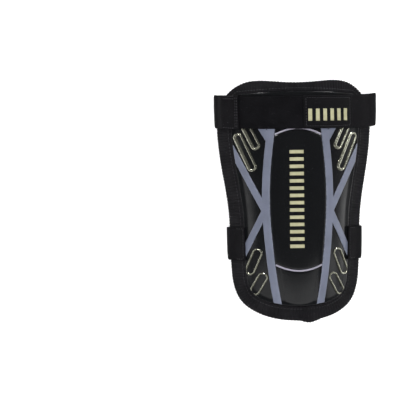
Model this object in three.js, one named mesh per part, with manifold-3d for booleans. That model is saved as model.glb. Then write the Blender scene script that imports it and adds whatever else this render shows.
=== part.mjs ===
// Shin guard for ball sports: a curved foam back, a hard shell with raised stripes, a sewn edge tape
// and two elastic straps. Millimetres. It lies on its straps with the shell up: X runs across the leg,
// +Y points to the knee end, +Z is up, and the origin is at the middle of the base of its box.
import * as THREE from 'three';
import { mergeVertices } from 'three/addons/utils/BufferGeometryUtils.js';
import Module from 'manifold-3d';

const wasm = await Module();
wasm.setup();

// Overall form of the foam's outer face
const GUARD_LENGTH = 216;
const GUARD_WIDTH = 140;
const GUARD_DEPTH = 34;
const SIDE_FLARE = 0.3;

// Walls and cloths
const FOAM_THICKNESS = 5;
const SHELL_THICKNESS = 2.8;
const SHELL_FLANGE_THICKNESS = 1.2;
const SHELL_EDGE_SLOPE = 1.0;
const FLANGE_WIDTH_UNDER_TAPE = 7.5;
const TAPE_THICKNESS = 0.9;
const TAPE_ROUNDING = 1.2;
const TAPE_WIDTH_SIDES = 13;
const TAPE_WIDTH_TOP = 7.3;
const TAPE_WIDTH_BACK = 11;
const ELASTIC_THICKNESS = 1.4;
const LOOP_CLOTH_THICKNESS = 1.6;
const TAB_THICKNESS = 1.8;
const CLEARANCE = 0.3;

// Fold where the ends of the edge tape overlap, just right of the lower tip
const TAPE_OVERLAP_PLACE = 9;
const TAPE_OVERLAP_REACH = 6;
const TAPE_OVERLAP_RISE = 1.8;

// Relief on the shell
const RELIEF_HEIGHT = 0.8;
const UPPER_RIM_RADIUS = 3.1;
const UPPER_RIM_BAND = 2.0;
const LOWER_RIM_RADIUS = 3.6;
const LOWER_RIM_BAND = 1.6;
const STRIPE_WIDTH = 6.3;
const BRACE_WIDTH = 5.5;
const PANEL_RISE = 0.8;
const PANEL_SIDE_GAP = 0.5;
const PANEL_ARC_SAG = 5;
const PANEL_LINE_WIDTH = 1.4;

// Straps
const STRAP_WIDTH = 30;
const FRONT_CLOTH_WIDTH = 28.4;
const UPPER_STRAP_BOW = 5.7;
const STRAP_LOOSENESS = 0.2;
const UPPER_STRAP_LEFT_SLACK = 0.2;
const UPPER_STRAP_RIGHT_SLACK = 4.6;
const LOWER_STRAP_SLACK = 1.1;
const STRAP_BEND_RADIUS = 3;
const ELASTIC_LEFT_COVER = 22.5;
const LOOP_CLOTH_LEFT_COVER = 8;
const TAB_LENGTH = 41.8;
const TAB_LEFT_PLACE = 3.7;
const TAB_SEAM = 6;
const STRAP_END_GAP = 0.6;
const LOWER_STRAP_OVER_SHELL = 2.1;

// Sections along the guard: half-width and depth of the arched form
// at: share of half the length; width: share of half the width; depth: share of the depth
const SECTIONS = [
  { at: -1.00, width: 0.790, depth: 0.86 },
  { at: -0.67, width: 0.808, depth: 0.93 },
  { at: -0.40, width: 0.832, depth: 0.97 },
  { at: -0.14, width: 0.842, depth: 0.99 },
  { at: 0.10, width: 0.886, depth: 1.01 },
  { at: 0.35, width: 0.949, depth: 1.03 },
  { at: 0.62, width: 0.991, depth: 1.04 },
  { at: 1.00, width: 1.000, depth: 1.00 },
];

// Right half of the outline from the middle of the top edge down to the lower tip
// across: share of the section's half-width there; along: share of half the length
const OUTLINE = [
  { across: 0.00, along: 0.970 },
  { across: 0.25, along: 0.982 },
  { across: 0.52, along: 1.000 },
  { across: 0.70, along: 0.979 },
  { across: 0.86, along: 0.907 },
  { across: 0.97, along: 0.780 },
  { across: 1.00, along: 0.600 },
  { across: 1.00, along: 0.200 },
  { across: 1.00, along: -0.200 },
  { across: 1.00, along: -0.550 },
  { across: 0.99, along: -0.680 },
  { across: 0.93, along: -0.790 },
  { across: 0.81, along: -0.870 },
  { across: 0.50, along: -0.947 },
  { across: 0.00, along: -0.973 },
];

// Middle line of a bowed stripe: shares of half the width and half the length
const STRIPE_LINE = [
  { across: 0.262, along: 0.850 },
  { across: 0.326, along: 0.540 },
  { across: 0.371, along: 0.226 },
  { across: 0.379, along: 0.013 },
  { across: 0.348, along: -0.343 },
  { across: 0.283, along: -0.704 },
  { across: 0.225, along: -0.920 },
];

// Straight braces that run from the stripe out to the shell's edge, in the same shares
const BRACES = [
  { from: { across: 0.317, along: 0.477 }, to: { across: 0.686, along: 0.900 } },
  { from: { across: 0.392, along: -0.070 }, to: { across: 0.820, along: 0.490 } },
  { from: { across: 0.393, along: -0.080 }, to: { across: 0.673, along: -0.465 } },
];

// Long rims on the shell's sides: centres of their round ends
// across: share of the shell's half-width there; along: share of half the length
const RIMS = [
  {
    name: 'top_outer',
    from: { across: 0.890, along: 0.540 },
    to: { across: 0.721, along: 0.289 },
    radius: UPPER_RIM_RADIUS,
    band: UPPER_RIM_BAND,
  },
  {
    name: 'top_inner',
    from: { across: 0.816, along: 0.690 },
    to: { across: 0.634, along: 0.464 },
    radius: UPPER_RIM_RADIUS,
    band: UPPER_RIM_BAND,
  },
  {
    name: 'low_upper',
    from: { across: 0.749, along: -0.424 },
    to: { across: 0.902, along: -0.567 },
    radius: LOWER_RIM_RADIUS,
    band: LOWER_RIM_BAND,
  },
  {
    name: 'low_lower',
    from: { across: 0.670, along: -0.621 },
    to: { across: 0.830, along: -0.733 },
    radius: LOWER_RIM_RADIUS,
    band: LOWER_RIM_BAND,
  },
];

// Places along the guard, as shares of half the length
const WINDOW_TOP = 0.898;
const PANEL_TOP = 0.584;
const PANEL_BOTTOM = -0.552;
const UPPER_STRAP_AT = 0.719;
const LOWER_STRAP_AT = -0.349;

// Steps of the faceted solids
const AROUND_STEPS = 72;
const ALONG_STEPS = 18;
const BRACE_STEPS = 8;
const PANEL_ACROSS_STEPS = 8;
const LOOP_CLOTH_STEPS = 20;
const TAB_STEPS = 9;
const RIM_END_STEPS = 8;
const PANEL_LINE_POINTS = 9;
const CLOTH_ACROSS_STEPS = 2;
const EDGE_BEND_STEPS = 5;
const GROUND_BEND_STEPS = 4;
const STRIPE_STEPS = 36;

// Rows from the middle to the edge of a slab, and places across a strap's flat back stretch
const INNER_SHARES = [0, 0.2, 0.4, 0.6, 0.8];
const BACK_SHARES = [0.75, 0.45, 0.15];

const HALF_LENGTH = GUARD_LENGTH / 2;
const HALF_WIDTH = GUARD_WIDTH / 2;
const UPPER_STRAP_PLACE = UPPER_STRAP_AT * HALF_LENGTH;
const LOWER_STRAP_PLACE = LOWER_STRAP_AT * HALF_LENGTH;
const RELIEF_EDGE_INSET = CLEARANCE + SHELL_EDGE_SLOPE;

// Heights above the foam's outer face, worked out from the layers below
const SHELL_BACK = CLEARANCE;
const FLANGE_TOP = SHELL_BACK + SHELL_FLANGE_THICKNESS;
const SHELL_TOP = SHELL_BACK + SHELL_THICKNESS;
const PANEL_HEIGHT = SHELL_TOP + PANEL_RISE;
const TAPE_FRONT_LOW = FLANGE_TOP + CLEARANCE;
const TAPE_FRONT_TOP = TAPE_FRONT_LOW + TAPE_THICKNESS;
const TAPE_BACK_HIGH = -FOAM_THICKNESS - CLEARANCE;
const TAPE_BACK_LOW = TAPE_BACK_HIGH - TAPE_THICKNESS;
const RELIEF_LOW = SHELL_TOP + CLEARANCE;
const RELIEF_TOP = RELIEF_LOW + RELIEF_HEIGHT;
const LOOP_LOW = RELIEF_TOP + CLEARANCE;
const LOOP_TOP = LOOP_LOW + LOOP_CLOTH_THICKNESS;
const TAB_LOW = LOOP_TOP + CLEARANCE;
const TAB_TOP = TAB_LOW + TAB_THICKNESS;
const HALF_ELASTIC = ELASTIC_THICKNESS / 2;
const ELASTIC_ON_TAPE = TAPE_FRONT_TOP + CLEARANCE + HALF_ELASTIC + STRAP_LOOSENESS;
const ELASTIC_OVER_RELIEF = LOOP_LOW + HALF_ELASTIC;
const ELASTIC_ON_LOOP = LOOP_TOP + CLEARANCE + HALF_ELASTIC;

// Form of the guard

const sectionSpline = new THREE.CubicInterpolant(
  SECTIONS.map((row) => row.at),
  SECTIONS.flatMap((row) => [row.width, row.depth]),
  2,
);

function sectionAt(y) {
  const at = THREE.MathUtils.clamp(y / HALF_LENGTH, -1, 1);
  const [width, depth] = sectionSpline.evaluate(at);
  return { halfWidth: width * HALF_WIDTH, depth: depth * GUARD_DEPTH };
}

function archHeight(x, y) {
  const { halfWidth, depth } = sectionAt(y);
  const share = (x / halfWidth) ** 2;
  return depth * (1 - share) * (1 - SIDE_FLARE * share);
}

function archNormal(x, y) {
  const reach = CLEARANCE;
  const slopeX = (archHeight(x + reach, y) - archHeight(x - reach, y)) / (2 * reach);
  const slopeY = (archHeight(x, y + reach) - archHeight(x, y - reach)) / (2 * reach);
  return new THREE.Vector3(-slopeX, -slopeY, 1).normalize();
}

// A point over (x, y) of the foam's outer face, raised along its normal
function overFoam(x, y, height, baseHeight = edgeHeight) {
  const point = new THREE.Vector3(x, y, baseHeight + archHeight(x, y));
  return point.addScaledVector(archNormal(x, y), height);
}

function mirroredLoop(rows) {
  const right = rows.map((row) => new THREE.Vector3(row.across, row.along, 0));
  const left = right.slice(1, -1).reverse().map((point) => new THREE.Vector3(-point.x, point.y, 0));
  return new THREE.CatmullRomCurve3([...right, ...left], true, 'centripetal');
}

const outlineLoop = mirroredLoop(OUTLINE);
outlineLoop.arcLengthDivisions = 600;

function outlineOnly(turn) {
  const share = outlineLoop.getPointAt((turn + 1) % 1);
  const y = share.y * HALF_LENGTH;
  return new THREE.Vector2(share.x * sectionAt(y).halfWidth, y);
}

// The outline moved inwards by a distance, at a share of a turn around it
function outlinePoint(turn, inset) {
  const reach = 0.002;
  const tangent = outlineOnly(turn + reach).sub(outlineOnly(turn - reach)).normalize();
  const inwards = new THREE.Vector2(tangent.y, -tangent.x);
  return outlineOnly(turn).addScaledVector(inwards, inset);
}

function tapeCover(y) {
  const nearTop = THREE.MathUtils.smoothstep(y / HALF_LENGTH, 0.72, 0.92);
  return THREE.MathUtils.lerp(TAPE_WIDTH_SIDES, TAPE_WIDTH_TOP, nearTop);
}

// The inner edge of the tape on the front, which frames the shell and is straight at the top
function windowPoint(turn, inset) {
  const cover = tapeCover(outlineOnly(turn).y);
  const point = outlinePoint(turn, cover + inset);
  point.y = Math.min(point.y, WINDOW_TOP * HALF_LENGTH - inset);
  return point;
}

function tapeOutside(turn, inset) {
  const point = outlinePoint(turn, inset);
  if (point.y < 0) {
    const away = (point.x - TAPE_OVERLAP_PLACE) / TAPE_OVERLAP_REACH;
    point.y -= TAPE_OVERLAP_RISE * Math.exp(-away * away);
  }
  return point;
}

// The straps' back stretches lie on the ground, and the edge tape rests just above them
const edgeHeight = ELASTIC_THICKNESS + CLEARANCE - lowestOfTape();

function lowestOfTape() {
  let lowest = 0;
  for (let step = 0; step < AROUND_STEPS; step += 1) {
    const turn = step / AROUND_STEPS;
    const outside = outlinePoint(turn, 0);
    const inside = outlinePoint(turn, TAPE_ROUNDING);
    lowest = Math.min(
      lowest,
      overFoam(outside.x, outside.y, -FOAM_THICKNESS, 0).z,
      overFoam(inside.x, inside.y, TAPE_BACK_LOW, 0).z,
    );
  }
  return lowest;
}

// Ways to make a closed body

function formVertices(geometry, place) {
  const position = geometry.attributes.position;
  for (let index = 0; index < position.count; index += 1) {
    const from = new THREE.Vector3().fromBufferAttribute(position, index);
    const to = place(from, index);
    position.setXYZ(index, to.x, to.y, to.z);
  }
  geometry.deleteAttribute('normal');
  geometry.deleteAttribute('uv');
  return facedOutwards(mergeVertices(geometry, 1e-4));
}

function facedOutwards(geometry) {
  const position = geometry.attributes.position;
  const order = geometry.index.array;
  const corners = [new THREE.Vector3(), new THREE.Vector3(), new THREE.Vector3()];
  let volume = 0;
  for (let face = 0; face < order.length; face += 3) {
    corners.forEach((corner, side) => corner.fromBufferAttribute(position, order[face + side]));
    volume += corners[0].dot(corners[1].clone().cross(corners[2])) / 6;
  }
  if (volume < 0) {
    for (let face = 0; face < order.length; face += 3) {
      [order[face], order[face + 1]] = [order[face + 1], order[face]];
    }
  }
  return geometry;
}

// A turned profile whose rows are laid round the outline: each row has its plan point and height
function ringBody(rows) {
  const profile = rows.map((row) => new THREE.Vector2(row.share, row.height));
  const geometry = new THREE.LatheGeometry(profile, AROUND_STEPS);
  return formVertices(geometry, (from, index) => {
    const row = rows[index % rows.length];
    const turn = Math.floor(index / rows.length) / AROUND_STEPS;
    const plan = row.edge(turn, row.inset).multiplyScalar(row.share);
    return overFoam(plan.x, plan.y, row.height);
  });
}

function innerRows(edge, inset, height) {
  return INNER_SHARES.map((share) => ({ edge, inset, share, height }));
}

// Rows of a bent slab whose side follows the given edge
function slabRows(edge, inset, high, low) {
  return [
    ...innerRows(edge, inset, high),
    { edge, inset, share: 1, height: high },
    { edge, inset, share: 1, height: low },
    ...innerRows(edge, inset, low).reverse(),
  ];
}

// A flat bar along a plan line, between two heights over the foam, with a bow towards the knee end
function barBody(line, width, low, high, alongSteps, acrossSteps = 1, bow = 0) {
  const geometry = new THREE.BoxGeometry(1, 1, 1, alongSteps, acrossSteps, 1);
  return formVertices(geometry, (from) => {
    const along = from.x + 0.5;
    const here = line.getPoint(along);
    const tangent = line.getTangent(along);
    const x = here.x - tangent.y * width * from.y;
    const y = here.y + tangent.x * width * from.y + bowAt(x, bow);
    return overFoam(x, y, THREE.MathUtils.lerp(low, high, from.z + 0.5));
  });
}

// The upper strap sags a little towards the ankle in the middle of the front
function bowAt(x, bow) {
  return bow * (x / HALF_WIDTH) ** 2;
}

function planPoint(row, side) {
  return new THREE.Vector2(side * row.across * HALF_WIDTH, row.along * HALF_LENGTH);
}

function toSolid(geometry) {
  return new wasm.Manifold(new wasm.Mesh({
    numProp: 3,
    vertProperties: new Float32Array(geometry.attributes.position.array),
    triVerts: new Uint32Array(geometry.index.array),
  }));
}

function toGeometry(solid) {
  const mesh = solid.getMesh();
  const geometry = new THREE.BufferGeometry();
  geometry.setAttribute('position', new THREE.BufferAttribute(mesh.vertProperties, 3));
  geometry.setIndex(new THREE.BufferAttribute(mesh.triVerts, 1));
  return geometry;
}

// Relief ends at the top of the shell's side slope
function insideWindow(solid) {
  const zone = ringBody(slabRows(windowPoint, RELIEF_EDGE_INSET, TAB_TOP, 0));
  return solid.intersect(toSolid(zone));
}

// Sub-parts

function backingFoam() {
  const inset = TAPE_THICKNESS + CLEARANCE;
  return ringBody(slabRows(outlinePoint, inset, 0, -FOAM_THICKNESS));
}

function edgeBinding() {
  return ringBody([
    { edge: windowPoint, inset: 0, share: 1, height: TAPE_FRONT_TOP },
    { edge: outlinePoint, inset: TAPE_ROUNDING, share: 1, height: TAPE_FRONT_TOP },
    { edge: tapeOutside, inset: 0, share: 1, height: TAPE_FRONT_TOP - TAPE_ROUNDING },
    { edge: tapeOutside, inset: 0, share: 1, height: -FOAM_THICKNESS },
    { edge: outlinePoint, inset: TAPE_ROUNDING, share: 1, height: TAPE_BACK_LOW },
    { edge: outlinePoint, inset: TAPE_WIDTH_BACK, share: 1, height: TAPE_BACK_LOW },
    { edge: outlinePoint, inset: TAPE_WIDTH_BACK, share: 1, height: TAPE_BACK_HIGH },
    { edge: outlinePoint, inset: TAPE_THICKNESS, share: 1, height: TAPE_BACK_HIGH },
    { edge: outlinePoint, inset: TAPE_THICKNESS, share: 1, height: TAPE_FRONT_LOW },
    { edge: windowPoint, inset: 0, share: 1, height: TAPE_FRONT_LOW },
    { edge: windowPoint, inset: 0, share: 1, height: TAPE_FRONT_TOP },
  ]);
}

function stripeLine(side) {
  return new THREE.SplineCurve(STRIPE_LINE.map((row) => planPoint(row, side)));
}

// Half-width of the field between the stripes' inner edges at a place along the guard
const stripeWidths = new THREE.CubicInterpolant(
  STRIPE_LINE.map((row) => row.along).reverse(),
  STRIPE_LINE.map((row) => row.across * HALF_WIDTH).reverse(),
  1,
);

function fieldHalfWidth(y) {
  const [middle] = stripeWidths.evaluate(y / HALF_LENGTH);
  return middle - STRIPE_WIDTH / 2 - PANEL_SIDE_GAP;
}

function panelArc(end, share) {
  const sag = PANEL_ARC_SAG * share * share;
  return end * HALF_LENGTH - Math.sign(end) * sag;
}

// Raised plate between the stripes, with a bowed top and bottom edge
function centrePanel() {
  const geometry = new THREE.BoxGeometry(1, 1, 1, PANEL_ACROSS_STEPS, ALONG_STEPS, 1);
  return formVertices(geometry, (from) => {
    const share = from.x * 2;
    const top = panelArc(PANEL_TOP, share);
    const bottom = panelArc(PANEL_BOTTOM, share);
    const y = THREE.MathUtils.lerp(bottom, top, from.y + 0.5);
    const height = from.z > 0 ? PANEL_HEIGHT : SHELL_TOP - SHELL_THICKNESS / 2;
    return overFoam(share * fieldHalfWidth(y), y, height);
  });
}

function hardShell() {
  const sideTop = RELIEF_EDGE_INSET;
  const flangeEdge = TAPE_WIDTH_SIDES - FLANGE_WIDTH_UNDER_TAPE;
  const shell = ringBody([
    ...innerRows(windowPoint, sideTop, SHELL_TOP),
    { edge: windowPoint, inset: sideTop, share: 1, height: SHELL_TOP },
    { edge: windowPoint, inset: CLEARANCE, share: 1, height: FLANGE_TOP },
    { edge: outlinePoint, inset: flangeEdge, share: 1, height: FLANGE_TOP },
    { edge: outlinePoint, inset: flangeEdge, share: 1, height: SHELL_BACK },
    { edge: windowPoint, inset: sideTop, share: 1, height: SHELL_BACK },
    ...innerRows(windowPoint, sideTop, SHELL_BACK).reverse(),
  ]);
  return toGeometry(toSolid(shell).add(toSolid(centrePanel())));
}

function stripe(side) {
  const bow = barBody(stripeLine(side), STRIPE_WIDTH, RELIEF_LOW, RELIEF_TOP, STRIPE_STEPS);
  const braces = BRACES.map((row) => {
    const line = new THREE.LineCurve(planPoint(row.from, side), planPoint(row.to, side));
    return barBody(line, BRACE_WIDTH, RELIEF_LOW, RELIEF_TOP, BRACE_STEPS);
  });
  const joined = braces.reduce((solid, brace) => solid.add(toSolid(brace)), toSolid(bow));
  return toGeometry(insideWindow(joined));
}

// Thin raised line that follows the panel's bowed edge
function panelLine(end) {
  const offset = Math.sign(end) * (CLEARANCE + PANEL_LINE_WIDTH / 2);
  const points = Array.from({ length: PANEL_LINE_POINTS }, (unused, index) => {
    const share = (2 * index) / (PANEL_LINE_POINTS - 1) - 1;
    const y = panelArc(end, share) + offset;
    return new THREE.Vector2(share * fieldHalfWidth(y), y);
  });
  const line = new THREE.SplineCurve(points);
  return barBody(line, PANEL_LINE_WIDTH, RELIEF_LOW, RELIEF_TOP, ALONG_STEPS);
}

function longRound(shape, from, to, radius) {
  const heading = Math.atan2(to.y - from.y, to.x - from.x);
  const quarter = Math.PI / 2;
  shape.absarc(to.x, to.y, radius, heading - quarter, heading + quarter, false);
  shape.absarc(from.x, from.y, radius, heading + quarter, heading + 3 * quarter, false);
  shape.closePath();
  return shape;
}

function rim(row, side) {
  const [from, to] = [row.from, row.to].map((end) => {
    const y = end.along * HALF_LENGTH;
    return new THREE.Vector2(side * end.across * (sectionAt(y).halfWidth - TAPE_WIDTH_SIDES), y);
  });
  const outside = longRound(new THREE.Shape(), from, to, row.radius + row.band / 2);
  outside.holes.push(longRound(new THREE.Path(), from, to, row.radius - row.band / 2));
  const flat = new THREE.ExtrudeGeometry(outside, {
    depth: 1,
    bevelEnabled: false,
    curveSegments: RIM_END_STEPS,
  });
  const bent = formVertices(mergeVertices(flat), (at) => {
    return overFoam(at.x, at.y, at.z > 0.5 ? RELIEF_TOP : RELIEF_LOW);
  });
  return toGeometry(insideWindow(toSolid(bent)));
}

// Middle line of a strap at one place along the guard, from its left front end round the back
// to its right front end: levels are heights over the foam at named places across
function strapLine(y, left, right, bow = 0) {
  return [...strapSide(y, left, -1, bow).reverse(), ...strapSide(y, right, 1, bow)];
}

function strapSide(y, end, side, bow) {
  const { halfWidth } = sectionAt(y + bow);
  const alongAt = (x) => y + bowAt(x, bow);
  const placeAt = (x, z) => new THREE.Vector3(x, alongAt(x), z);
  const front = end.levels.map(({ x, level }) => overFoam(x, alongAt(x), level));
  const turnX = halfWidth - STRAP_BEND_RADIUS;
  const turnFrom = overFoam(turnX, alongAt(turnX), ELASTIC_ON_TAPE);
  const outside = overFoam(halfWidth, y + bow, TAPE_FRONT_TOP - TAPE_ROUNDING).x
    + CLEARANCE + HALF_ELASTIC + end.slack;
  const slope = archNormal(turnX, alongAt(turnX));
  const drop = (outside - turnFrom.x) * (slope.x / slope.z);
  const shoulder = Math.max(turnFrom.z - drop, STRAP_BEND_RADIUS + ELASTIC_THICKNESS);
  const low = HALF_ELASTIC;
  const overEdge = new THREE.QuadraticBezierCurve3(
    turnFrom,
    placeAt(outside, shoulder),
    placeAt(outside, (shoulder + low) / 2),
  );
  const toGround = new THREE.QuadraticBezierCurve3(
    overEdge.v2,
    placeAt(outside, low),
    placeAt(outside - STRAP_BEND_RADIUS, low),
  );
  const inwards = BACK_SHARES.map((share) => placeAt(share * halfWidth, low));
  const path = [
    ...front,
    ...overEdge.getPoints(EDGE_BEND_STEPS),
    ...toGround.getPoints(GROUND_BEND_STEPS).slice(1),
    ...inwards,
  ];
  return path.reverse().map((point) => point.setX(side * point.x));
}

// Cloth of even thickness along lines that hold the same number of points at each width step
function strapBody(lineAt, middle) {
  const steps = lineAt(middle).length - 1;
  const geometry = new THREE.BoxGeometry(1, 1, 1, steps, CLOTH_ACROSS_STEPS, 1);
  return formVertices(geometry, (from) => {
    const line = lineAt(middle + from.y * STRAP_WIDTH);
    const index = Math.round((from.x + 0.5) * steps);
    const ahead = line[Math.min(index + 1, steps)];
    const behind = line[Math.max(index - 1, 0)];
    const normal = new THREE.Vector3(behind.z - ahead.z, 0, ahead.x - behind.x).normalize();
    return line[index].clone().addScaledVector(normal, ELASTIC_THICKNESS * from.z);
  });
}

function upperElastic() {
  const reach = (y) => sectionAt(y).halfWidth;
  const leftEnd = (y) => ({
    slack: UPPER_STRAP_LEFT_SLACK,
    levels: [
      { x: reach(y) - ELASTIC_LEFT_COVER, level: ELASTIC_ON_LOOP },
      { x: reach(y) - (ELASTIC_LEFT_COVER + LOOP_CLOTH_LEFT_COVER) / 2, level: ELASTIC_ON_LOOP },
      { x: reach(y) - LOOP_CLOTH_LEFT_COVER, level: ELASTIC_ON_LOOP },
    ],
  });
  const rightStart = TAB_LEFT_PLACE + TAB_LENGTH - TAB_SEAM;
  const rightEnd = (y) => ({
    slack: UPPER_STRAP_RIGHT_SLACK,
    levels: [
      { x: rightStart, level: ELASTIC_OVER_RELIEF },
      { x: rightStart + TAB_SEAM, level: ELASTIC_OVER_RELIEF },
      { x: reach(y) - TAPE_WIDTH_SIDES + TAPE_ROUNDING, level: ELASTIC_OVER_RELIEF },
    ],
  });
  return strapBody(
    (y) => strapLine(y, leftEnd(y), rightEnd(y), UPPER_STRAP_BOW),
    UPPER_STRAP_PLACE,
  );
}

function lowerElastic() {
  const windowReach = (y) => sectionAt(y).halfWidth - TAPE_WIDTH_SIDES;
  const end = (y) => ({
    slack: LOWER_STRAP_SLACK,
    levels: [
      { x: windowReach(y) - LOWER_STRAP_OVER_SHELL, level: ELASTIC_OVER_RELIEF },
      { x: windowReach(y), level: ELASTIC_OVER_RELIEF },
      { x: windowReach(y) + TAPE_WIDTH_SIDES / 2, level: ELASTIC_ON_TAPE },
    ],
  });
  return strapBody((y) => strapLine(y, end(y), end(y)), LOWER_STRAP_PLACE);
}

// Cloth that lies across the front of the shell between two places
function frontCloth(leftX, rightX, low, high, steps) {
  const line = new THREE.LineCurve(
    new THREE.Vector2(leftX, UPPER_STRAP_PLACE),
    new THREE.Vector2(rightX, UPPER_STRAP_PLACE),
  );
  const across = CLOTH_ACROSS_STEPS;
  return barBody(line, FRONT_CLOTH_WIDTH, low, high, steps, across, UPPER_STRAP_BOW);
}

function loopPanel() {
  const left = LOOP_CLOTH_LEFT_COVER - sectionAt(UPPER_STRAP_PLACE).halfWidth + STRAP_END_GAP;
  const right = TAB_LEFT_PLACE + TAB_LENGTH - TAB_SEAM - STRAP_END_GAP;
  return frontCloth(left, right, LOOP_LOW, LOOP_TOP, LOOP_CLOTH_STEPS);
}

function tab() {
  return frontCloth(TAB_LEFT_PLACE, TAB_LEFT_PLACE + TAB_LENGTH, TAB_LOW, TAB_TOP, TAB_STEPS);
}

// Finishes

function finish(color, roughness, metalness = 0) {
  return new THREE.MeshStandardMaterial({ color, roughness, metalness });
}

function piece(name, geometry, material) {
  geometry.computeVertexNormals();
  const mesh = new THREE.Mesh(geometry, material);
  mesh.name = name;
  return mesh;
}

const FINISHES = {
  foam: () => finish(0x1d1d1f, 0.95),
  tape: () => finish(0x222224, 0.9),
  shell: () => finish(0x1b1c1e, 0.22),
  stripe: () => finish(0x767b8c, 0.45),
  rim: () => finish(0xb8b68c, 0.4),
  elastic: () => finish(0x1f1e22, 0.9),
  loopCloth: () => finish(0x18181b, 1),
  tab: () => finish(0x1c1c20, 0.8),
};

const guard = new THREE.Group();
guard.add(piece('backing_foam', backingFoam(), FINISHES.foam()));
guard.add(piece('edge_binding', edgeBinding(), FINISHES.tape()));
guard.add(piece('hard_shell', hardShell(), FINISHES.shell()));
for (const [sideName, side] of [['left', -1], ['right', 1]]) {
  guard.add(piece(`stripe_${sideName}`, stripe(side), FINISHES.stripe()));
  for (const row of RIMS) {
    guard.add(piece(`rim_${sideName}_${row.name}`, rim(row, side), FINISHES.rim()));
  }
}
guard.add(piece('panel_line_top', panelLine(PANEL_TOP), FINISHES.stripe()));
guard.add(piece('panel_line_bottom', panelLine(PANEL_BOTTOM), FINISHES.stripe()));
guard.add(piece('upper_strap_elastic', upperElastic(), FINISHES.elastic()));
guard.add(piece('upper_strap_loop_panel', loopPanel(), FINISHES.loopCloth()));
guard.add(piece('upper_strap_tab', tab(), FINISHES.tab()));
guard.add(piece('lower_strap_elastic', lowerElastic(), FINISHES.elastic()));

// The origin is moved to the middle of the base of the whole box
const box = new THREE.Box3().setFromObject(guard);
const centre = box.getCenter(new THREE.Vector3());
guard.position.set(-centre.x, -centre.y, -box.min.z);
guard.updateMatrixWorld(true);

export default guard;
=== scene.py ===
# %% [markdown]
# # A shin guard, piece by piece
# The guard is a curved foam back under a hard glossy shell, bound at the edge with ribbed tape and
# held by two elastic straps. The solids from the CAD step are loaded as a fixed frame. They carry
# the sizes, and each one is replaced here by a finer mesh that stays in the same place.
# %% Load the frame
import math

import bpy
import numpy as np
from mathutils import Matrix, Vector


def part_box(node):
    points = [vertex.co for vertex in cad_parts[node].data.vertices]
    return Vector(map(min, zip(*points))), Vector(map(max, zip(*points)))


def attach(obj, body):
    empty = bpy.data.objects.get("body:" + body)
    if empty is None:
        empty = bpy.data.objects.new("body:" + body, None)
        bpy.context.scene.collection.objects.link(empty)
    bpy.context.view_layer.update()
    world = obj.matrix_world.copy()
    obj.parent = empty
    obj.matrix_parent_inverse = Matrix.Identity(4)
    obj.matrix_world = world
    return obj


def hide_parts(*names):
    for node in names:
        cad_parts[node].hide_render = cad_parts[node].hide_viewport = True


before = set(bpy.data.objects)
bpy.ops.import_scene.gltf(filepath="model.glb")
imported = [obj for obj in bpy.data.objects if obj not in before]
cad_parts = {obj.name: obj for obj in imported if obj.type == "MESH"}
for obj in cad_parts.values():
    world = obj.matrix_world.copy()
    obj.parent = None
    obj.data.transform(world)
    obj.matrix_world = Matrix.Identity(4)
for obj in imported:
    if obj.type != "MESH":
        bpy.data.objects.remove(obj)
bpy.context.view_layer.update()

print("solids in the frame:", len(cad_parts))

# %% [markdown]
# ## The arched form
# Foam, shell and tape all follow one arched sheet, pressed in a single mould. It could be sculpted,
# but then every layer would need its own fit. Here it is a formula: the arch across the leg has a
# width and a depth at each place along the guard, and every piece is laid over it at its own
# height.
# %% Sizes of the form, in millimetres
MM = 0.001
GUARD_LENGTH = 216
GUARD_WIDTH = 140
GUARD_DEPTH = 34
SIDE_FLARE = 0.3
HALF_LENGTH = GUARD_LENGTH / 2
HALF_WIDTH = GUARD_WIDTH / 2

SECTION_PLACES = [-1.00, -0.67, -0.40, -0.14, 0.10, 0.35, 0.62, 1.00]
SECTION_WIDTHS = [0.790, 0.808, 0.832, 0.842, 0.886, 0.949, 0.991, 1.000]
SECTION_DEPTHS = [0.86, 0.93, 0.97, 0.99, 1.01, 1.03, 1.04, 1.00]
print("sections along the guard:", len(SECTION_PLACES))

# %% [markdown]
# A natural cubic spline joins the sections, because its curvature never jumps, and a glossy shell
# shows each jump as a kink in its highlights.
# %% Smooth curves through the sections
def smooth_curve(places, values):
    """A curve through values at rising places, with curvature that never jumps."""
    places = np.asarray(places, float)
    values = np.asarray(values, float)
    gaps = np.diff(places)
    count = len(places)
    system = np.eye(count)
    right = np.zeros_like(values)
    for k in range(1, count - 1):
        system[k, k - 1:k + 2] = gaps[k - 1], 2 * (gaps[k - 1] + gaps[k]), gaps[k]
        rise_after = (values[k + 1] - values[k]) / gaps[k]
        rise_before = (values[k] - values[k - 1]) / gaps[k - 1]
        right[k] = 6 * (rise_after - rise_before)
    bend = np.linalg.solve(system, right)

    def read(place):
        place = np.clip(place, places[0], places[-1])
        k = np.clip(np.searchsorted(places, place, side="right") - 1, 0, count - 2)
        gap = gaps[k]
        after = (place - places[k]) / gap
        before = 1 - after
        if values.ndim > 1:
            gap, after, before = (part[..., None] for part in (gap, after, before))
        curved = (before**3 - before) * bend[k] + (after**3 - after) * bend[k + 1]
        return before * values[k] + after * values[k + 1] + curved * gap * gap / 6

    return read


width_share = smooth_curve(SECTION_PLACES, SECTION_WIDTHS)
depth_share = smooth_curve(SECTION_PLACES, SECTION_DEPTHS)


def half_width(y):
    return HALF_WIDTH * width_share(y / HALF_LENGTH)


print("half width at the knee end and the ankle end:", half_width(HALF_LENGTH), half_width(-HALF_LENGTH))

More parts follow.
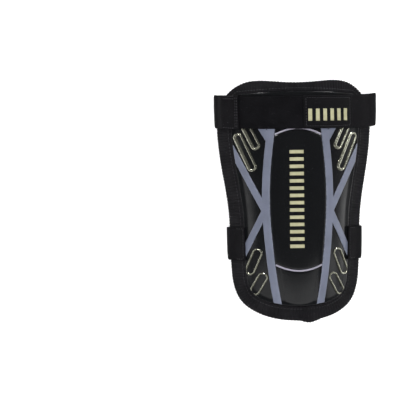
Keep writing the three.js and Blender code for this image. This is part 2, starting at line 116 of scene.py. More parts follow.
# %% [markdown]
# ## Where the form sits in the frame
# The frame's origin is the middle of its box, and the loose strap at the right pushes that box
# sideways, so the guard's own middle plane isn't at zero. The shifts are read from the solids'
# boxes, and the foam's highest point tells how high the arch's edges stand.
# %% Shifts from the frame
UPPER_STRAP_AT = 0.719
LOWER_STRAP_AT = -0.349
UPPER_STRAP_PLACE = UPPER_STRAP_AT * HALF_LENGTH
LOWER_STRAP_PLACE = LOWER_STRAP_AT * HALF_LENGTH

tape_low, tape_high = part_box("edge_binding")
lower_low, lower_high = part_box("lower_strap_elastic")
_, foam_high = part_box("backing_foam")
MIDDLE_X = (tape_low.x + tape_high.x) / 2 / MM
SHIFT_Y = (lower_low.y + lower_high.y) / 2 / MM - LOWER_STRAP_PLACE
highest_share = depth_share(np.linspace(-1, 1, 401)).max()
EDGE_HEIGHT = foam_high.z / MM - GUARD_DEPTH * highest_share
SLOPE_STEP = 0.2


def arch_height(x, y):
    share = (x / half_width(y)) ** 2
    return GUARD_DEPTH * depth_share(y / HALF_LENGTH) * (1 - share) * (1 - SIDE_FLARE * share)


def arch_normal(x, y):
    step = SLOPE_STEP
    slope_x = (arch_height(x + step, y) - arch_height(x - step, y)) / (2 * step)
    slope_y = (arch_height(x, y + step) - arch_height(x, y - step)) / (2 * step)
    normal = np.stack([-slope_x, -slope_y, np.ones_like(slope_x)], axis=-1)
    return normal / np.linalg.norm(normal, axis=-1, keepdims=True)


def over_foam(x, y, height):
    """Points over (x, y) of the foam's outer face, raised along its normal."""
    x, y, height = np.broadcast_arrays(np.asarray(x, float), np.asarray(y, float), height)
    foot = np.stack([x, y, EDGE_HEIGHT + arch_height(x, y)], axis=-1)
    return foot + arch_normal(x, y) * height[..., None]


def laid(plan, height):
    """A line of plan points, laid over the foam at a height."""
    return over_foam(plan[:, 0], plan[:, 1], height)


def in_frame(points):
    """Points of the guard's own millimetres, in metres of the frame."""
    return (np.asarray(points) + [MIDDLE_X, SHIFT_Y, 0]) * MM


print("middle plane:", round(MIDDLE_X, 2), "shift:", round(SHIFT_Y, 2), "edge:", round(EDGE_HEIGHT, 2))

# %% [markdown]
# ## The camera
# The photograph looks straight down from about three quarters of a metre, and it was taken of a
# pair, so the lens stands to the left of this guard. The view is set before the pieces, because it
# decides which of their faces count most.
# %% Camera
IMAGE_SIDE = 400
CAMERA_ACROSS = -86.5
CAMERA_ALONG = 2.4
CAMERA_HEIGHT = 744
CAMERA_TURN = -0.70
PIXELS_PER_SLOPE = 801.5
SENSOR_SIDE = 36

camera_data = bpy.data.cameras.new("camera")
camera_data.sensor_width = SENSOR_SIDE
camera_data.lens = SENSOR_SIDE * PIXELS_PER_SLOPE / IMAGE_SIDE
camera = bpy.data.objects.new("camera", camera_data)
camera.location = in_frame([CAMERA_ACROSS, CAMERA_ALONG, CAMERA_HEIGHT])
camera.rotation_euler = (0, 0, math.radians(CAMERA_TURN))
bpy.context.scene.collection.objects.link(camera)
bpy.context.scene.camera = camera
print("lens:", round(camera_data.lens, 1), "mm")

# %% [markdown]
# ## Layers
# The guard is a stack: foam, shell, tape over the shell's thin flange, raised relief, and the
# strap's cloths on top. Each height is measured from the foam's outer face and worked out from the
# layer below it, so a thicker shell lifts everything that lies on it.
# %% Heights over the foam, in millimetres
CLEARANCE = 0.3
FOAM_THICKNESS = 5
SHELL_THICKNESS = 2.8
FLANGE_THICKNESS = 1.2
TAPE_THICKNESS = 0.9
RELIEF_HEIGHT = 0.8
LOOP_CLOTH_THICKNESS = 1.6
TAB_THICKNESS = 1.8
ELASTIC_THICKNESS = 1.4
STRAP_LOOSENESS = 0.2

FLANGE_TOP = CLEARANCE + FLANGE_THICKNESS
SHELL_TOP = CLEARANCE + SHELL_THICKNESS
TAPE_FRONT_LOW = FLANGE_TOP + CLEARANCE
TAPE_FRONT_TOP = TAPE_FRONT_LOW + TAPE_THICKNESS
TAPE_BACK_HIGH = -FOAM_THICKNESS - CLEARANCE
TAPE_BACK_LOW = TAPE_BACK_HIGH - TAPE_THICKNESS
RELIEF_TOP = SHELL_TOP + CLEARANCE + RELIEF_HEIGHT
LOOP_LOW = RELIEF_TOP + CLEARANCE
LOOP_TOP = LOOP_LOW + LOOP_CLOTH_THICKNESS
TAB_LOW = LOOP_TOP + CLEARANCE
TAB_TOP = TAB_LOW + TAB_THICKNESS
HALF_ELASTIC = ELASTIC_THICKNESS / 2
ELASTIC_ON_TAPE = TAPE_FRONT_TOP + CLEARANCE + HALF_ELASTIC + STRAP_LOOSENESS
ELASTIC_OVER_RELIEF = LOOP_LOW + HALF_ELASTIC
ELASTIC_ON_LOOP = LOOP_TOP + CLEARANCE + HALF_ELASTIC
print("top of the stack over the foam:", round(TAB_TOP, 2), "mm")

# %% [markdown]
# ## The outline
# The edge of the guard is broad at the knee, straight down both sides and tapered to a blunt tip.
# A few points carry that shape for one half, a smooth closed curve runs through them and their
# mirror images, and the curve is then read at even distances, so that the tape's ribs come out
# equally spaced.
# %% Outline curve
OUTLINE = [
    (0.00, 0.970), (0.25, 0.982), (0.52, 1.000), (0.70, 0.979), (0.86, 0.907),
    (0.97, 0.780), (1.00, 0.600), (1.00, 0.200), (1.00, -0.200), (1.00, -0.550),
    (0.99, -0.680), (0.93, -0.790), (0.81, -0.870), (0.50, -0.947), (0.00, -0.973),
]
OUTLINE_SAMPLES = 6000


def closed_outline():
    right = np.array(OUTLINE)
    left = right[1:-1][::-1] * [-1, 1]
    once = np.vstack([right, left])
    laps = np.vstack([once, once, once, once[:1]])
    steps = np.sqrt(np.linalg.norm(np.diff(laps, axis=0), axis=1))
    places = np.concatenate([[0], np.cumsum(steps)])
    lap = places[len(once)]
    turn = lap + lap * np.arange(OUTLINE_SAMPLES) / OUTLINE_SAMPLES
    share = smooth_curve(places, laps)(turn)
    y = share[:, 1] * HALF_LENGTH
    return np.stack([share[:, 0] * half_width(y), y], axis=-1)


OUTLINE_POINTS = closed_outline()


def evenly(points, count, closed):
    """The same line, read at evenly spaced places."""
    line = np.vstack([points, points[:1]]) if closed else points
    steps = np.linalg.norm(np.diff(line, axis=0), axis=1)
    length = np.concatenate([[0], np.cumsum(steps)])
    wanted = np.linspace(0, length[-1], count, endpoint=not closed)
    return np.stack([np.interp(wanted, length, part) for part in line.T], axis=-1)


def inwards(points):
    """Unit normals that point into a closed plan line that runs clockwise, and out of one that runs
    the other way."""
    tangent = np.roll(points, -1, axis=0) - np.roll(points, 1, axis=0)
    tangent /= np.linalg.norm(tangent, axis=1, keepdims=True)
    return np.stack([tangent[:, 1], -tangent[:, 0]], axis=-1)


outline_steps = np.linalg.norm(OUTLINE_POINTS - np.roll(OUTLINE_POINTS, 1, axis=0), axis=1)
OUTLINE_LENGTH = outline_steps.sum()
print("length of the edge:", round(OUTLINE_LENGTH), "mm")

# %% [markdown]
# ## The window
# The tape's inner edge frames the shell like a window. It keeps an even distance from the outer
# edge down the sides and round the tip, comes closer at the knee end, and runs straight across
# there.
# %% Window curve and a test for inside
TAPE_WIDTH_SIDES = 13
TAPE_WIDTH_TOP = 7.3
WINDOW_TOP = 0.898
NARROWS_FROM = 0.72
NARROWS_TO = 0.92
WINDOW_POINTS = 720
TINY = 1e-9


def eased(share):
    share = np.clip(share, 0, 1)
    return share * share * (3 - 2 * share)


def outline_at(count, inset):
    points = evenly(OUTLINE_POINTS, count, closed=True)
    return points + inwards(points) * np.reshape(inset, (-1, 1))


def window_at(count, inset):
    points = evenly(OUTLINE_POINTS, count, closed=True)
    near_top = eased((points[:, 1] / HALF_LENGTH - NARROWS_FROM) / (NARROWS_TO - NARROWS_FROM))
    cover = TAPE_WIDTH_SIDES + (TAPE_WIDTH_TOP - TAPE_WIDTH_SIDES) * near_top
    moved = points + inwards(points) * (cover + inset)[:, None]
    moved[:, 1] = np.minimum(moved[:, 1], WINDOW_TOP * HALF_LENGTH - inset)
    return moved


WINDOW_LINE = window_at(WINDOW_POINTS, 0)


def depth_inside(points):
    """How far plan points lie inside the window, negative outside."""
    flat = np.reshape(points, (-1, 2))
    start = WINDOW_LINE
    side = np.roll(start, -1, axis=0) - start
    away = flat[:, None] - start[None]
    share = np.clip((away * side).sum(-1) / np.maximum((side * side).sum(-1), TINY), 0, 1)
    distance = np.linalg.norm(away - share[..., None] * side, axis=-1).min(axis=1)
    crossing = (start[:, 1] > flat[:, None, 1]) != (np.roll(start[:, 1], -1) > flat[:, None, 1])
    rise = np.where(side[:, 1] == 0, TINY, side[:, 1])
    at_x = start[:, 0] + (flat[:, None, 1] - start[:, 1]) * side[:, 0] / rise
    inside = (crossing & (flat[:, None, 0] < at_x)).sum(axis=1) % 2 == 1
    return np.reshape(np.where(inside, distance, -distance), np.shape(points)[:-1])


print("window:", np.round(WINDOW_LINE.min(axis=0), 1), np.round(WINDOW_LINE.max(axis=0), 1))

# %% [markdown]
# ## Three ways to make a mesh
# Nearly every piece is one of three kinds. A slab has a top and a bottom grid and a side between
# them, a ring is a cross-section carried round a closed line, and a dome is a set of rings that
# close in a point at both ends. Grids come from numpy arrays, because the rows can then follow the
# real edges of each piece. Slabs and the tape also give each face a place in a map measured in
# millimetres, for weaves.
# %% Piece maker
CLOTH_MAP = "cloth_mm"
EDGE_MASK = "edge"


def new_piece(name, points, faces, map_places=None, edge=None):
    mesh = bpy.data.meshes.new(name)
    mesh.from_pydata(in_frame(points).tolist(), [], faces)
    mesh.polygons.foreach_set("use_smooth", [True] * len(mesh.polygons))
    if map_places is not None:
        corner_points = np.zeros(len(mesh.loops), int)
        mesh.loops.foreach_get("vertex_index", corner_points)
        layer = mesh.uv_layers.new(name=CLOTH_MAP)
        layer.data.foreach_set("uv", np.asarray(map_places, float)[corner_points].ravel())
    if edge is not None:
        mask = mesh.attributes.new(EDGE_MASK, "FLOAT", "POINT")
        mask.data.foreach_set("value", np.asarray(edge, float).ravel())
    mesh.validate()
    mesh.update()
    piece = bpy.data.objects.new(name, mesh)
    bpy.context.scene.collection.objects.link(piece)
    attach(piece, "root")
    return piece


def outwards(piece):
    """Turns the faces of a closed piece so that they look out of it."""
    mesh = piece.data
    corners = np.zeros(len(mesh.loops), int)
    mesh.loops.foreach_get("vertex_index", corners)
    places = np.zeros(len(mesh.vertices) * 3)
    mesh.vertices.foreach_get("co", places)
    places = places.reshape(-1, 3) - places.reshape(-1, 3).mean(axis=0)
    mesh.calc_loop_triangles()
    triangles = np.zeros(len(mesh.loop_triangles) * 3, int)
    mesh.loop_triangles.foreach_get("vertices", triangles)
    a, b, c = (places[triangles.reshape(-1, 3)[:, k]] for k in range(3))
    if (a * np.cross(b, c)).sum() < 0:
        mesh.flip_normals()
    return piece


print("marks on a piece:", CLOTH_MAP, EDGE_MASK)

# %% [markdown]
# The plates, stripes and cloths are slabs. The side between the two grids runs once round their
# border, so a slab is closed and has no loose edge.
# %% Slab maker
def grid_faces(rows, columns, wrap_rows=False, wrap_columns=False):
    row = np.arange(rows if wrap_rows else rows - 1)
    column = np.arange(columns if wrap_columns else columns - 1)
    row, column = (part.ravel() for part in np.meshgrid(row, column, indexing="ij"))
    next_row = (row + 1) % rows
    next_column = (column + 1) % columns
    corners = [(row, column), (row, next_column), (next_row, next_column), (next_row, column)]
    return np.stack([r * columns + c for r, c in corners], axis=-1)


def slab(name, top, bottom, map_places=None, edge=None):
    """A closed piece between two grids of the same size. Rows run along X and columns along Y."""
    rows, columns = top.shape[:2]
    upper = grid_faces(rows, columns)
    lower = upper[:, ::-1] + rows * columns
    rim = np.concatenate([
        np.arange(columns),
        np.arange(1, rows) * columns + columns - 1,
        (rows - 1) * columns + np.arange(columns - 2, -1, -1),
        np.arange(rows - 2, 0, -1) * columns,
    ])
    after = np.roll(rim, -1)
    sides = np.stack([rim, rim + rows * columns, after + rows * columns, after], axis=-1)
    faces = np.vstack([upper, lower, sides]).tolist()
    points = np.concatenate([top.reshape(-1, 3), bottom.reshape(-1, 3)])
    if map_places is not None:
        map_places = np.concatenate([map_places.reshape(-1, 2)] * 2)
    if edge is not None:
        edge = np.concatenate([edge.ravel()] * 2)
    return outwards(new_piece(name, points, faces, map_places, edge))


print("slab maker ready")

# %% [markdown]
# Tape and rims close on themselves, so they are rings. Foam and shell are domes: their rows run
# along the edge of the guard, which keeps that edge clean where a plain grid would cut it in steps.
# %% Ring and dome makers
def ring(name, sections, map_places=None):
    """A closed cross-section carried round a closed line. Rows go round the section."""
    rows, columns = sections.shape[:2]
    faces = grid_faces(rows, columns, wrap_rows=True, wrap_columns=True).tolist()
    if map_places is not None:
        map_places = map_places.reshape(-1, 2)
    return outwards(new_piece(name, sections.reshape(-1, 3), faces, map_places))


def dome(name, rows_of_points, edge=None):
    """Rings from a top point out to the edge and back to a bottom point."""
    rows, columns = rows_of_points.shape[:2]
    inner = rows_of_points[1:-1]
    points = np.concatenate([inner.reshape(-1, 3), rows_of_points[0, :1], rows_of_points[-1, :1]])
    top = len(points) - 2
    faces = grid_faces(rows - 2, columns, wrap_columns=True).tolist()
    last = (rows - 3) * columns
    for k in range(columns):
        after = (k + 1) % columns
        faces.append([top, after, k])
        faces.append([top + 1, last + k, last + after])
    if edge is not None:
        edge = np.concatenate([edge[1:-1].ravel(), edge[0, :1], edge[-1, :1]])
    return outwards(new_piece(name, points, faces, edge=edge))


print("ring and dome makers ready")

# %% [markdown]
# ## The foam back
# The back is a 5 mm sheet of closed-cell foam with a knitted lining, soft enough to give at the
# tape. A cloth simulation would swell it like a cushion, which such a sheet never does. It is laid
# out in rings instead, pulled in a little where the tape grips it, and its hollow side carries a
# few pressed channels that let air through.
# %% Foam
FOAM_ROUND_STEPS = 240
FOAM_ROW_STEPS = 56
CHANNEL_DEPTH = 1.1
CHANNEL_WIDTH = 2.6
CHANNEL_PITCH = 15
CHANNEL_REACH = 0.74
CHANNEL_FADE = 0.08
FOAM_CROWDING = 0.8


def foam_rows():
    edge = outline_at(FOAM_ROUND_STEPS, TAPE_THICKNESS + CLEARANCE)
    shares = np.linspace(0, 1, FOAM_ROW_STEPS) ** FOAM_CROWDING
    front = [laid(edge * share, 0.0) for share in shares]
    back = []
    for share in shares[::-1]:
        line = edge * share
        off_centre = (line[:, 0] + CHANNEL_PITCH / 2) % CHANNEL_PITCH - CHANNEL_PITCH / 2
        groove = np.exp(-(2 * off_centre / CHANNEL_WIDTH) ** 2)
        kept = eased((CHANNEL_REACH - share) / CHANNEL_FADE)
        back.append(laid(line, -FOAM_THICKNESS + CHANNEL_DEPTH * groove * kept))
    return np.array(front + back)


foam = dome("foam_back", foam_rows())
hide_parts("backing_foam")
print("foam back:", len(foam.data.polygons), "faces")

# %% [markdown]
# ## The edge tape
# A woven tape is folded round the foam and sewn through. Its ribs stand across the edge about
# 2.7 mm apart, and they are real waves in the mesh: a bump alone would leave the edge smooth
# against the floor, which is where the ribs are seen best. The tape's ends overlap beside the lower
# tip, where the fold is a little thicker and the lapped end stands up as a small step.
# %% Tape's section
TAPE_ROUNDING = 1.2
TAPE_WIDTH_BACK = 11
TAPE_OVERLAP_PLACE = 9
TAPE_OVERLAP_REACH = 6
TAPE_OVERLAP_RISE = 1.8
INNER_EDGE_DROP = 0.35
INNER_EDGE_RIBS = 0.3
FACE_STARTS = 0.03
FOLD_STEPS = 5
FACE_STEPS = 7
RIB_PITCH = 2.7
STEPS_PER_RIB = 8
RIB_COUNT = round(OUTLINE_LENGTH / RIB_PITCH)
TAPE_STEPS = RIB_COUNT * STEPS_PER_RIB


def tape_outside():
    points = outline_at(TAPE_STEPS, 0)
    away = (points[:, 0] - TAPE_OVERLAP_PLACE) / TAPE_OVERLAP_REACH
    lower = points[:, 1] < 0
    points[:, 1] -= np.where(lower, TAPE_OVERLAP_RISE * np.exp(-away * away), 0)
    return points


def tape_rows():
    """Places round the tape's cross-section: plan line, height, how much the ribs show there."""
    window = window_at(TAPE_STEPS, 0)
    shoulder = outline_at(TAPE_STEPS, TAPE_ROUNDING)
    outside = tape_outside()
    back_edge = outline_at(TAPE_STEPS, TAPE_WIDTH_BACK)
    rows = [
        (window, TAPE_FRONT_LOW, 0),
        (window, TAPE_FRONT_TOP - INNER_EDGE_DROP, INNER_EDGE_RIBS),
    ]
    for share in np.linspace(FACE_STARTS, 1, FACE_STEPS + 1):
        rows.append((window + (shoulder - window) * share, TAPE_FRONT_TOP, 1))
    for k in range(1, FOLD_STEPS + 1):
        angle = k / FOLD_STEPS * math.pi / 2
        plan = shoulder + (outside - shoulder) * math.sin(angle)
        rows.append((plan, TAPE_FRONT_TOP - TAPE_ROUNDING * (1 - math.cos(angle)), 1))
    rows.append((outside, -FOAM_THICKNESS / 2, 1))
    for k in range(FOLD_STEPS + 1):
        angle = k / FOLD_STEPS * math.pi / 2
        plan = outside + (shoulder - outside) * (1 - math.cos(angle))
        height = -FOAM_THICKNESS - (-TAPE_BACK_LOW - FOAM_THICKNESS) * math.sin(angle)
        rows.append((plan, height, 1))
    for k in range(1, FACE_STEPS):
        share = k / (FACE_STEPS - 1)
        rows.append((shoulder + (back_edge - shoulder) * share, TAPE_BACK_LOW, 1))
    inner_fold = outline_at(TAPE_STEPS, TAPE_THICKNESS)
    rows.append((back_edge, TAPE_BACK_HIGH, 0))
    rows.append((inner_fold, TAPE_BACK_HIGH, 0))
    rows.append((inner_fold, TAPE_FRONT_LOW, 0))
    return rows


print("ribs round the edge:", RIB_COUNT)

# %% [markdown]
# The section is carried round the edge. Between the ribs the surface sinks along its own normal, and
# where the lapped end lies it is raised, with a slanted cut. The millimetre map runs along the tape
# and across it, for the weave.
# %% Tape
RIB_HEIGHT = 0.45
RIB_FULLNESS = 0.7
LAP_HALF_LENGTH = 7
LAP_THICKNESS = 0.45
LAP_SLANT = 1.5
LAP_EDGE = 0.5


def make_tape():
    rows = tape_rows()
    points = np.array([laid(plan, height) for plan, height, _ in rows])
    shown = np.array([show for _, _, show in rows])[:, None]
    along = np.roll(points, -1, axis=1) - np.roll(points, 1, axis=1)
    across = np.gradient(points, axis=0)
    normal = np.cross(across, along)
    normal /= np.maximum(np.linalg.norm(normal, axis=-1, keepdims=True), TINY)
    middle = points.mean(axis=0, keepdims=True)
    outward = np.sign((normal * (points - middle)).sum(-1).mean())
    turn = np.arange(TAPE_STEPS) / STEPS_PER_RIB * 2 * math.pi
    wave = 0.5 + 0.5 * np.cos(turn)
    sunk = RIB_HEIGHT * shown * (wave ** RIB_FULLNESS - 1)
    face_x, face_y = rows[2][0].T
    slant = np.linspace(-LAP_SLANT, LAP_SLANT, len(rows))[:, None]
    from_end = LAP_HALF_LENGTH - np.abs(face_x - TAPE_OVERLAP_PLACE + slant)
    lapped = LAP_THICKNESS * eased(from_end / LAP_EDGE) * (face_y < 0) * (shown == 1)
    points = points + normal * outward * (sunk + lapped)[..., None]
    around = np.broadcast_to(np.arange(TAPE_STEPS) * OUTLINE_LENGTH / TAPE_STEPS, points.shape[:2])
    steps = np.linalg.norm(np.diff(points, axis=0), axis=-1).mean(axis=1)
    down = np.broadcast_to(np.concatenate([[0], np.cumsum(steps)])[:, None], points.shape[:2])
    return ring("edge_tape", points, np.stack([around, down], axis=-1))


tape = make_tape()
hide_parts("edge_binding")
print("tape:", len(tape.data.polygons), "faces")

# %% [markdown]
# ## The shell
# The shell is moulded in one piece with a thin flange that the tape covers. Its surface could be a
# subdivided cage, but the highlights then wander with the cage. Rings that follow the window keep
# them even. The shell flares up a little before its edge, where the tape is sewn against it, and
# the flare turns away from the lights, which leaves a dark line along the tape.
# %% Shell
SHELL_EDGE_SLOPE = 1.0
FLANGE_EDGE = 4.5
SHELL_ROUND_STEPS = 300
SHELL_ROW_STEPS = 36
FLARE_STEPS = 12
FLARE_REACH = 5.0
FLARE_HEIGHT = 0.5
LIP_STEPS = 5
LIP_REACH = 0.5
LIP_TOP = SHELL_TOP + FLARE_HEIGHT
WEAR_CROWDING = 8
UNDERSIDE_STEPS = 5


def shell_rows():
    """Rings from the shell's top point out to its edge and back below, and how worn each ring is."""
    inside = window_at(SHELL_ROUND_STEPS, FLARE_REACH)
    rings = [(inside * share, SHELL_TOP, 0) for share in np.linspace(0, 1, SHELL_ROW_STEPS)]
    lip_inset = CLEARANCE + LIP_REACH
    for share in np.linspace(0, 1, FLARE_STEPS + 1)[1:]:
        plan = window_at(SHELL_ROUND_STEPS, FLARE_REACH + (lip_inset - FLARE_REACH) * share)
        rings.append((plan, SHELL_TOP + FLARE_HEIGHT * share ** 2, share ** WEAR_CROWDING))
    for k in range(1, LIP_STEPS + 1):
        angle = k / LIP_STEPS * math.pi / 2
        plan = window_at(SHELL_ROUND_STEPS, CLEARANCE + LIP_REACH * (1 - math.sin(angle)))
        rings.append((plan, LIP_TOP - (LIP_TOP - FLANGE_TOP) * (1 - math.cos(angle)), 1))
    flange = outline_at(SHELL_ROUND_STEPS, FLANGE_EDGE)
    rings += [(flange, FLANGE_TOP, 0), (flange, CLEARANCE, 0)]
    rings += [(inside * share, CLEARANCE, 0) for share in np.linspace(1, 0, UNDERSIDE_STEPS)]
    points = np.array([laid(plan, height) for plan, height, _ in rings])
    wear_and_highlight = np.array([np.full(SHELL_ROUND_STEPS, float(worn)) for _, _, worn in rings])
    return points, wear_and_highlight


shell_points, shell_edges = shell_rows()
shell = dome("shell_base", shell_points, shell_edges)
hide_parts("hard_shell")
print("shell:", len(shell.data.polygons), "faces")

# %% [markdown]
# ## Stripes' middle lines and fields
# Two bowed stripes divide the shell into a middle field and two sides. The same line gives the
# stripe its route and the middle field its width, so the raised plates end an even gap away from
# the stripes.
# %% Stripe line and field width
STRIPE_WIDTH = 6.3
PANEL_SIDE_GAP = 0.5
STRIPE_ALONG = [-0.920, -0.704, -0.343, 0.013, 0.226, 0.540, 0.850]
STRIPE_ACROSS = [0.225, 0.283, 0.348, 0.379, 0.371, 0.326, 0.262]
stripe_across = smooth_curve(STRIPE_ALONG, STRIPE_ACROSS)


def field_half_width(y):
    return HALF_WIDTH * stripe_across(y / HALF_LENGTH) - STRIPE_WIDTH / 2 - PANEL_SIDE_GAP


print("widest half of the middle field:", round(float(field_half_width(0.0)), 1), "mm")

# %% [markdown]
# ## Rounded plates
# The raised plates of the shell, the stripes and the cloth pieces are all flat bars or plates with
# soft edges. One maker lays them out from a plan: two shares go in, a place on the guard comes out.
# Its rows crowd together near each edge and follow a quarter circle there, as a moulded or sewn
# edge does. A bevel modifier would do the same, but not on an edge that is cut at a slant.
# %% Plate maker
EDGE_QUARTER = 4


def with_edges(length, rounding, steps):
    """Shares of a length, crowded at both ends, and how high each place stands."""
    angles = np.linspace(0, math.pi / 2, EDGE_QUARTER + 1)
    near = rounding * (1 - np.cos(angles)) / length
    rise = np.sin(angles)
    inner = np.linspace(near[-1], 1 - near[-1], steps + 1)[1:-1]
    places = np.concatenate([near, inner, 1 - near[::-1]])
    heights = np.concatenate([rise, np.ones(len(inner)), rise[::-1]])
    return places, heights


def plate(name, plan, size, low, high, rounding, steps, relief=None):
    """A plate over the shell: plan turns two shares into a place on the guard, and relief, where it
    is given, turns them into a height that is added to the top."""
    u, rise_u = with_edges(size[0], rounding, steps[0])
    v, rise_v = with_edges(size[1], rounding, steps[1])
    u, v = np.meshgrid(u, v, indexing="ij")
    rise = np.minimum(rise_u[:, None], rise_v[None, :])
    x, y = plan(u, v)
    added = relief(u, v) * rise if relief else 0.0
    top = over_foam(x, y, high - rounding + rounding * rise + added)
    bottom = over_foam(x, y, np.full(u.shape, low))
    places = np.stack([u * size[0], v * size[1]], axis=-1)
    return slab(name, top, bottom, places, 1 - rise)


print("rows on an edge:", EDGE_QUARTER)

# %% [markdown]
# ## Middle plate and lower plate
# The middle of the shell is a raised plate with bowed ends, and below it a second, lower plate
# runs to the tip and falls away slightly towards it. Both are part of the moulding, so they get
# the shell's finish and reach a little way into it, with no seam under them.
# %% Plates of the shell
PANEL_TOP = 0.584
PANEL_BOTTOM = -0.552
PANEL_ARC_SAG = 5
PANEL_RISE = 0.8
PANEL_ROUNDING = 0.7
PLATE_SINK = 1.0
LINE_WIDTH = 1.4
LINE_TO_LOWER_PLATE = 1.0
LOWER_PLATE_RISE = 0.55
LOWER_PLATE_ROUNDING = 0.5
LOWER_PLATE_MARGIN = 2.9
LOWER_PLATE_END = -0.838
LOWER_PLATE_SAG = 2.5
LOWER_PLATE_LENGTH = 28
LOWER_PLATE_MIDDLE = -75.0


def arc_y(end, share):
    return end * HALF_LENGTH - math.copysign(PANEL_ARC_SAG, end) * share * share


def middle_plan(u, v):
    share = 2 * u - 1
    y = arc_y(PANEL_BOTTOM, share) * (1 - v) + arc_y(PANEL_TOP, share) * v
    return share * field_half_width(y), y


def lower_plan(u, v):
    share = 2 * u - 1
    from_y = LOWER_PLATE_END * HALF_LENGTH + LOWER_PLATE_SAG * share * share
    to_y = arc_y(PANEL_BOTTOM, share) - CLEARANCE - LINE_WIDTH - LINE_TO_LOWER_PLATE
    y = from_y * (1 - v) + to_y * v
    return share * (field_half_width(y) - LOWER_PLATE_MARGIN), y


middle_size = (2 * float(field_half_width(0.0)), (PANEL_TOP - PANEL_BOTTOM) * HALF_LENGTH)
lower_size = (2 * float(field_half_width(LOWER_PLATE_MIDDLE)), LOWER_PLATE_LENGTH)
PLATE_LOW = SHELL_TOP - PLATE_SINK
middle_plate = plate("shell_middle_plate", middle_plan, middle_size, PLATE_LOW,
                     SHELL_TOP + PANEL_RISE, PANEL_ROUNDING, (60, 110))
lower_plate = plate("shell_lower_plate", lower_plan, lower_size, PLATE_LOW,
                    SHELL_TOP + LOWER_PLATE_RISE, LOWER_PLATE_ROUNDING, (40, 40))
for part in (middle_plate, lower_plate):
    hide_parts("hard_shell")
print("middle plate:", round(middle_size[0]), "x", round(middle_size[1]), "mm")

# %% [markdown]
# ## Bars cut at the window
# Stripes, their braces and some of the long rims run out to the shell's edge and are cut along it,
# which leaves long slanted points. A boolean cut would leave ragged normals on such thin ends. Each
# lengthwise column of the bar is measured instead, and ends where it meets the window.
# %% Bar maker
RELIEF_INSET = CLEARANCE + SHELL_EDGE_SLOPE
TRIM_SAMPLES = 500


def plan_normals(line):
    tangent = np.gradient(line, axis=0)
    tangent /= np.linalg.norm(tangent, axis=1, keepdims=True)
    return np.stack([-tangent[:, 1], tangent[:, 0]], axis=-1)


def trimmed_bar(name, line, width, low, high, rounding, steps):
    """A bar along a plan line, with every column cut where it leaves the window."""
    line = evenly(line, TRIM_SAMPLES, closed=False)
    normals = plan_normals(line)
    shares, _ = with_edges(width, rounding, steps[0])
    starts = []
    ends = []
    for share in shares:
        column = line + normals * (width * (share - 0.5))
        allowed = depth_inside(column) - RELIEF_INSET
        kept = np.flatnonzero(allowed >= 0)
        first, last = kept[0], kept[-1]
        start, end = float(first), float(last)
        if first > 0:
            start -= allowed[first] / (allowed[first] - allowed[first - 1])
        if last < TRIM_SAMPLES - 1:
            end += allowed[last] / (allowed[last] - allowed[last + 1])
        starts.append(start)
        ends.append(end)
    length = np.linalg.norm(np.diff(line, axis=0), axis=1).sum()

    def plan(u, v):
        start = np.interp(u, shares, starts)
        end = np.interp(u, shares, ends)
        place = start + (end - start) * v
        index = np.arange(TRIM_SAMPLES)
        x, y, normal_x, normal_y = (np.interp(place, index, part) for part in (*line.T, *normals.T))
        offset = width * (u - 0.5)
        return x + normal_x * offset, y + normal_y * offset

    return plate(name, plan, (width, length), low, high, rounding, steps)


print("cut at", RELIEF_INSET, "mm inside the window")

# %% [markdown]
# ## Stripes and braces
# The lilac-grey bars are a second moulding, set on the shell: a bowed stripe down each side, and
# straight braces from it to the edge. Bar and braces are separate meshes that run into each other,
# because each keeps its own rounded shoulders as the real ribs do.
# %% Stripes
BRACE_WIDTH = 5.5
BRACE_LOWER = 0.05
STRIPE_POINTS = 200
RELIEF_SINK = 0.5
STRIPE_ROUNDING = 0.7
BRACES = [
    ((0.317, 0.477), (0.642, 0.850)),
    ((0.392, -0.070), (0.820, 0.490)),
    ((0.393, -0.080), (0.673, -0.465)),
]
RELIEF_LOW = SHELL_TOP - RELIEF_SINK
SIDES = {"left": -1, "right": 1}


def plan_point(shares, side):
    return np.array([side * shares[0] * HALF_WIDTH, shares[1] * HALF_LENGTH])


def stripe_bar(name, line, width, top, steps, node):
    bar = trimmed_bar(name, line, width, RELIEF_LOW, top, STRIPE_ROUNDING, (5, steps))
    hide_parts(node)
    return bar


def make_stripe(side_name, side):
    node = f"stripe_{side_name}"
    along = np.linspace(STRIPE_ALONG[0], STRIPE_ALONG[-1], STRIPE_POINTS)
    line = np.stack([side * stripe_across(along) * HALF_WIDTH, along * HALF_LENGTH], axis=-1)
    parts = [stripe_bar(f"{node}_bow", line, STRIPE_WIDTH, RELIEF_TOP, 150, node)]
    for number, (start, end) in enumerate(BRACES, 1):
        line = np.array([plan_point(start, side), plan_point(end, side)])
        parts.append(stripe_bar(f"{node}_brace_{number}", line, BRACE_WIDTH,
                                RELIEF_TOP - BRACE_LOWER, 50, node))
    return parts


stripe_parts = [part for name, side in SIDES.items() for part in make_stripe(name, side)]
print("stripe bars:", len(stripe_parts))

# %% [markdown]
# ## Long rims
# Each side carries four long rims, like slots with a raised bead round them. The bead is about
# half a circle in section. Where a rim reaches the window it is cut there and left open, as the
# tape hides its end.
# %% Lines of the rims
UPPER_RIM = (2.85, 2.3)
LOWER_RIM = (3.6, 1.35)
RIMS = [
    ("top_outer", (0.890, 0.540), (0.721, 0.289), UPPER_RIM),
    ("top_inner", (0.816, 0.690), (0.634, 0.464), UPPER_RIM),
    ("low_upper", (0.749, -0.424), (0.902, -0.567), LOWER_RIM),
    ("low_lower", (0.670, -0.621), (0.830, -0.733), LOWER_RIM),
]
RIM_POINTS = 400
ROUND_END_POINTS = 60


def rim_end(shares, side):
    y = shares[1] * HALF_LENGTH
    return np.array([side * shares[0] * (half_width(y) - TAPE_WIDTH_SIDES), y])


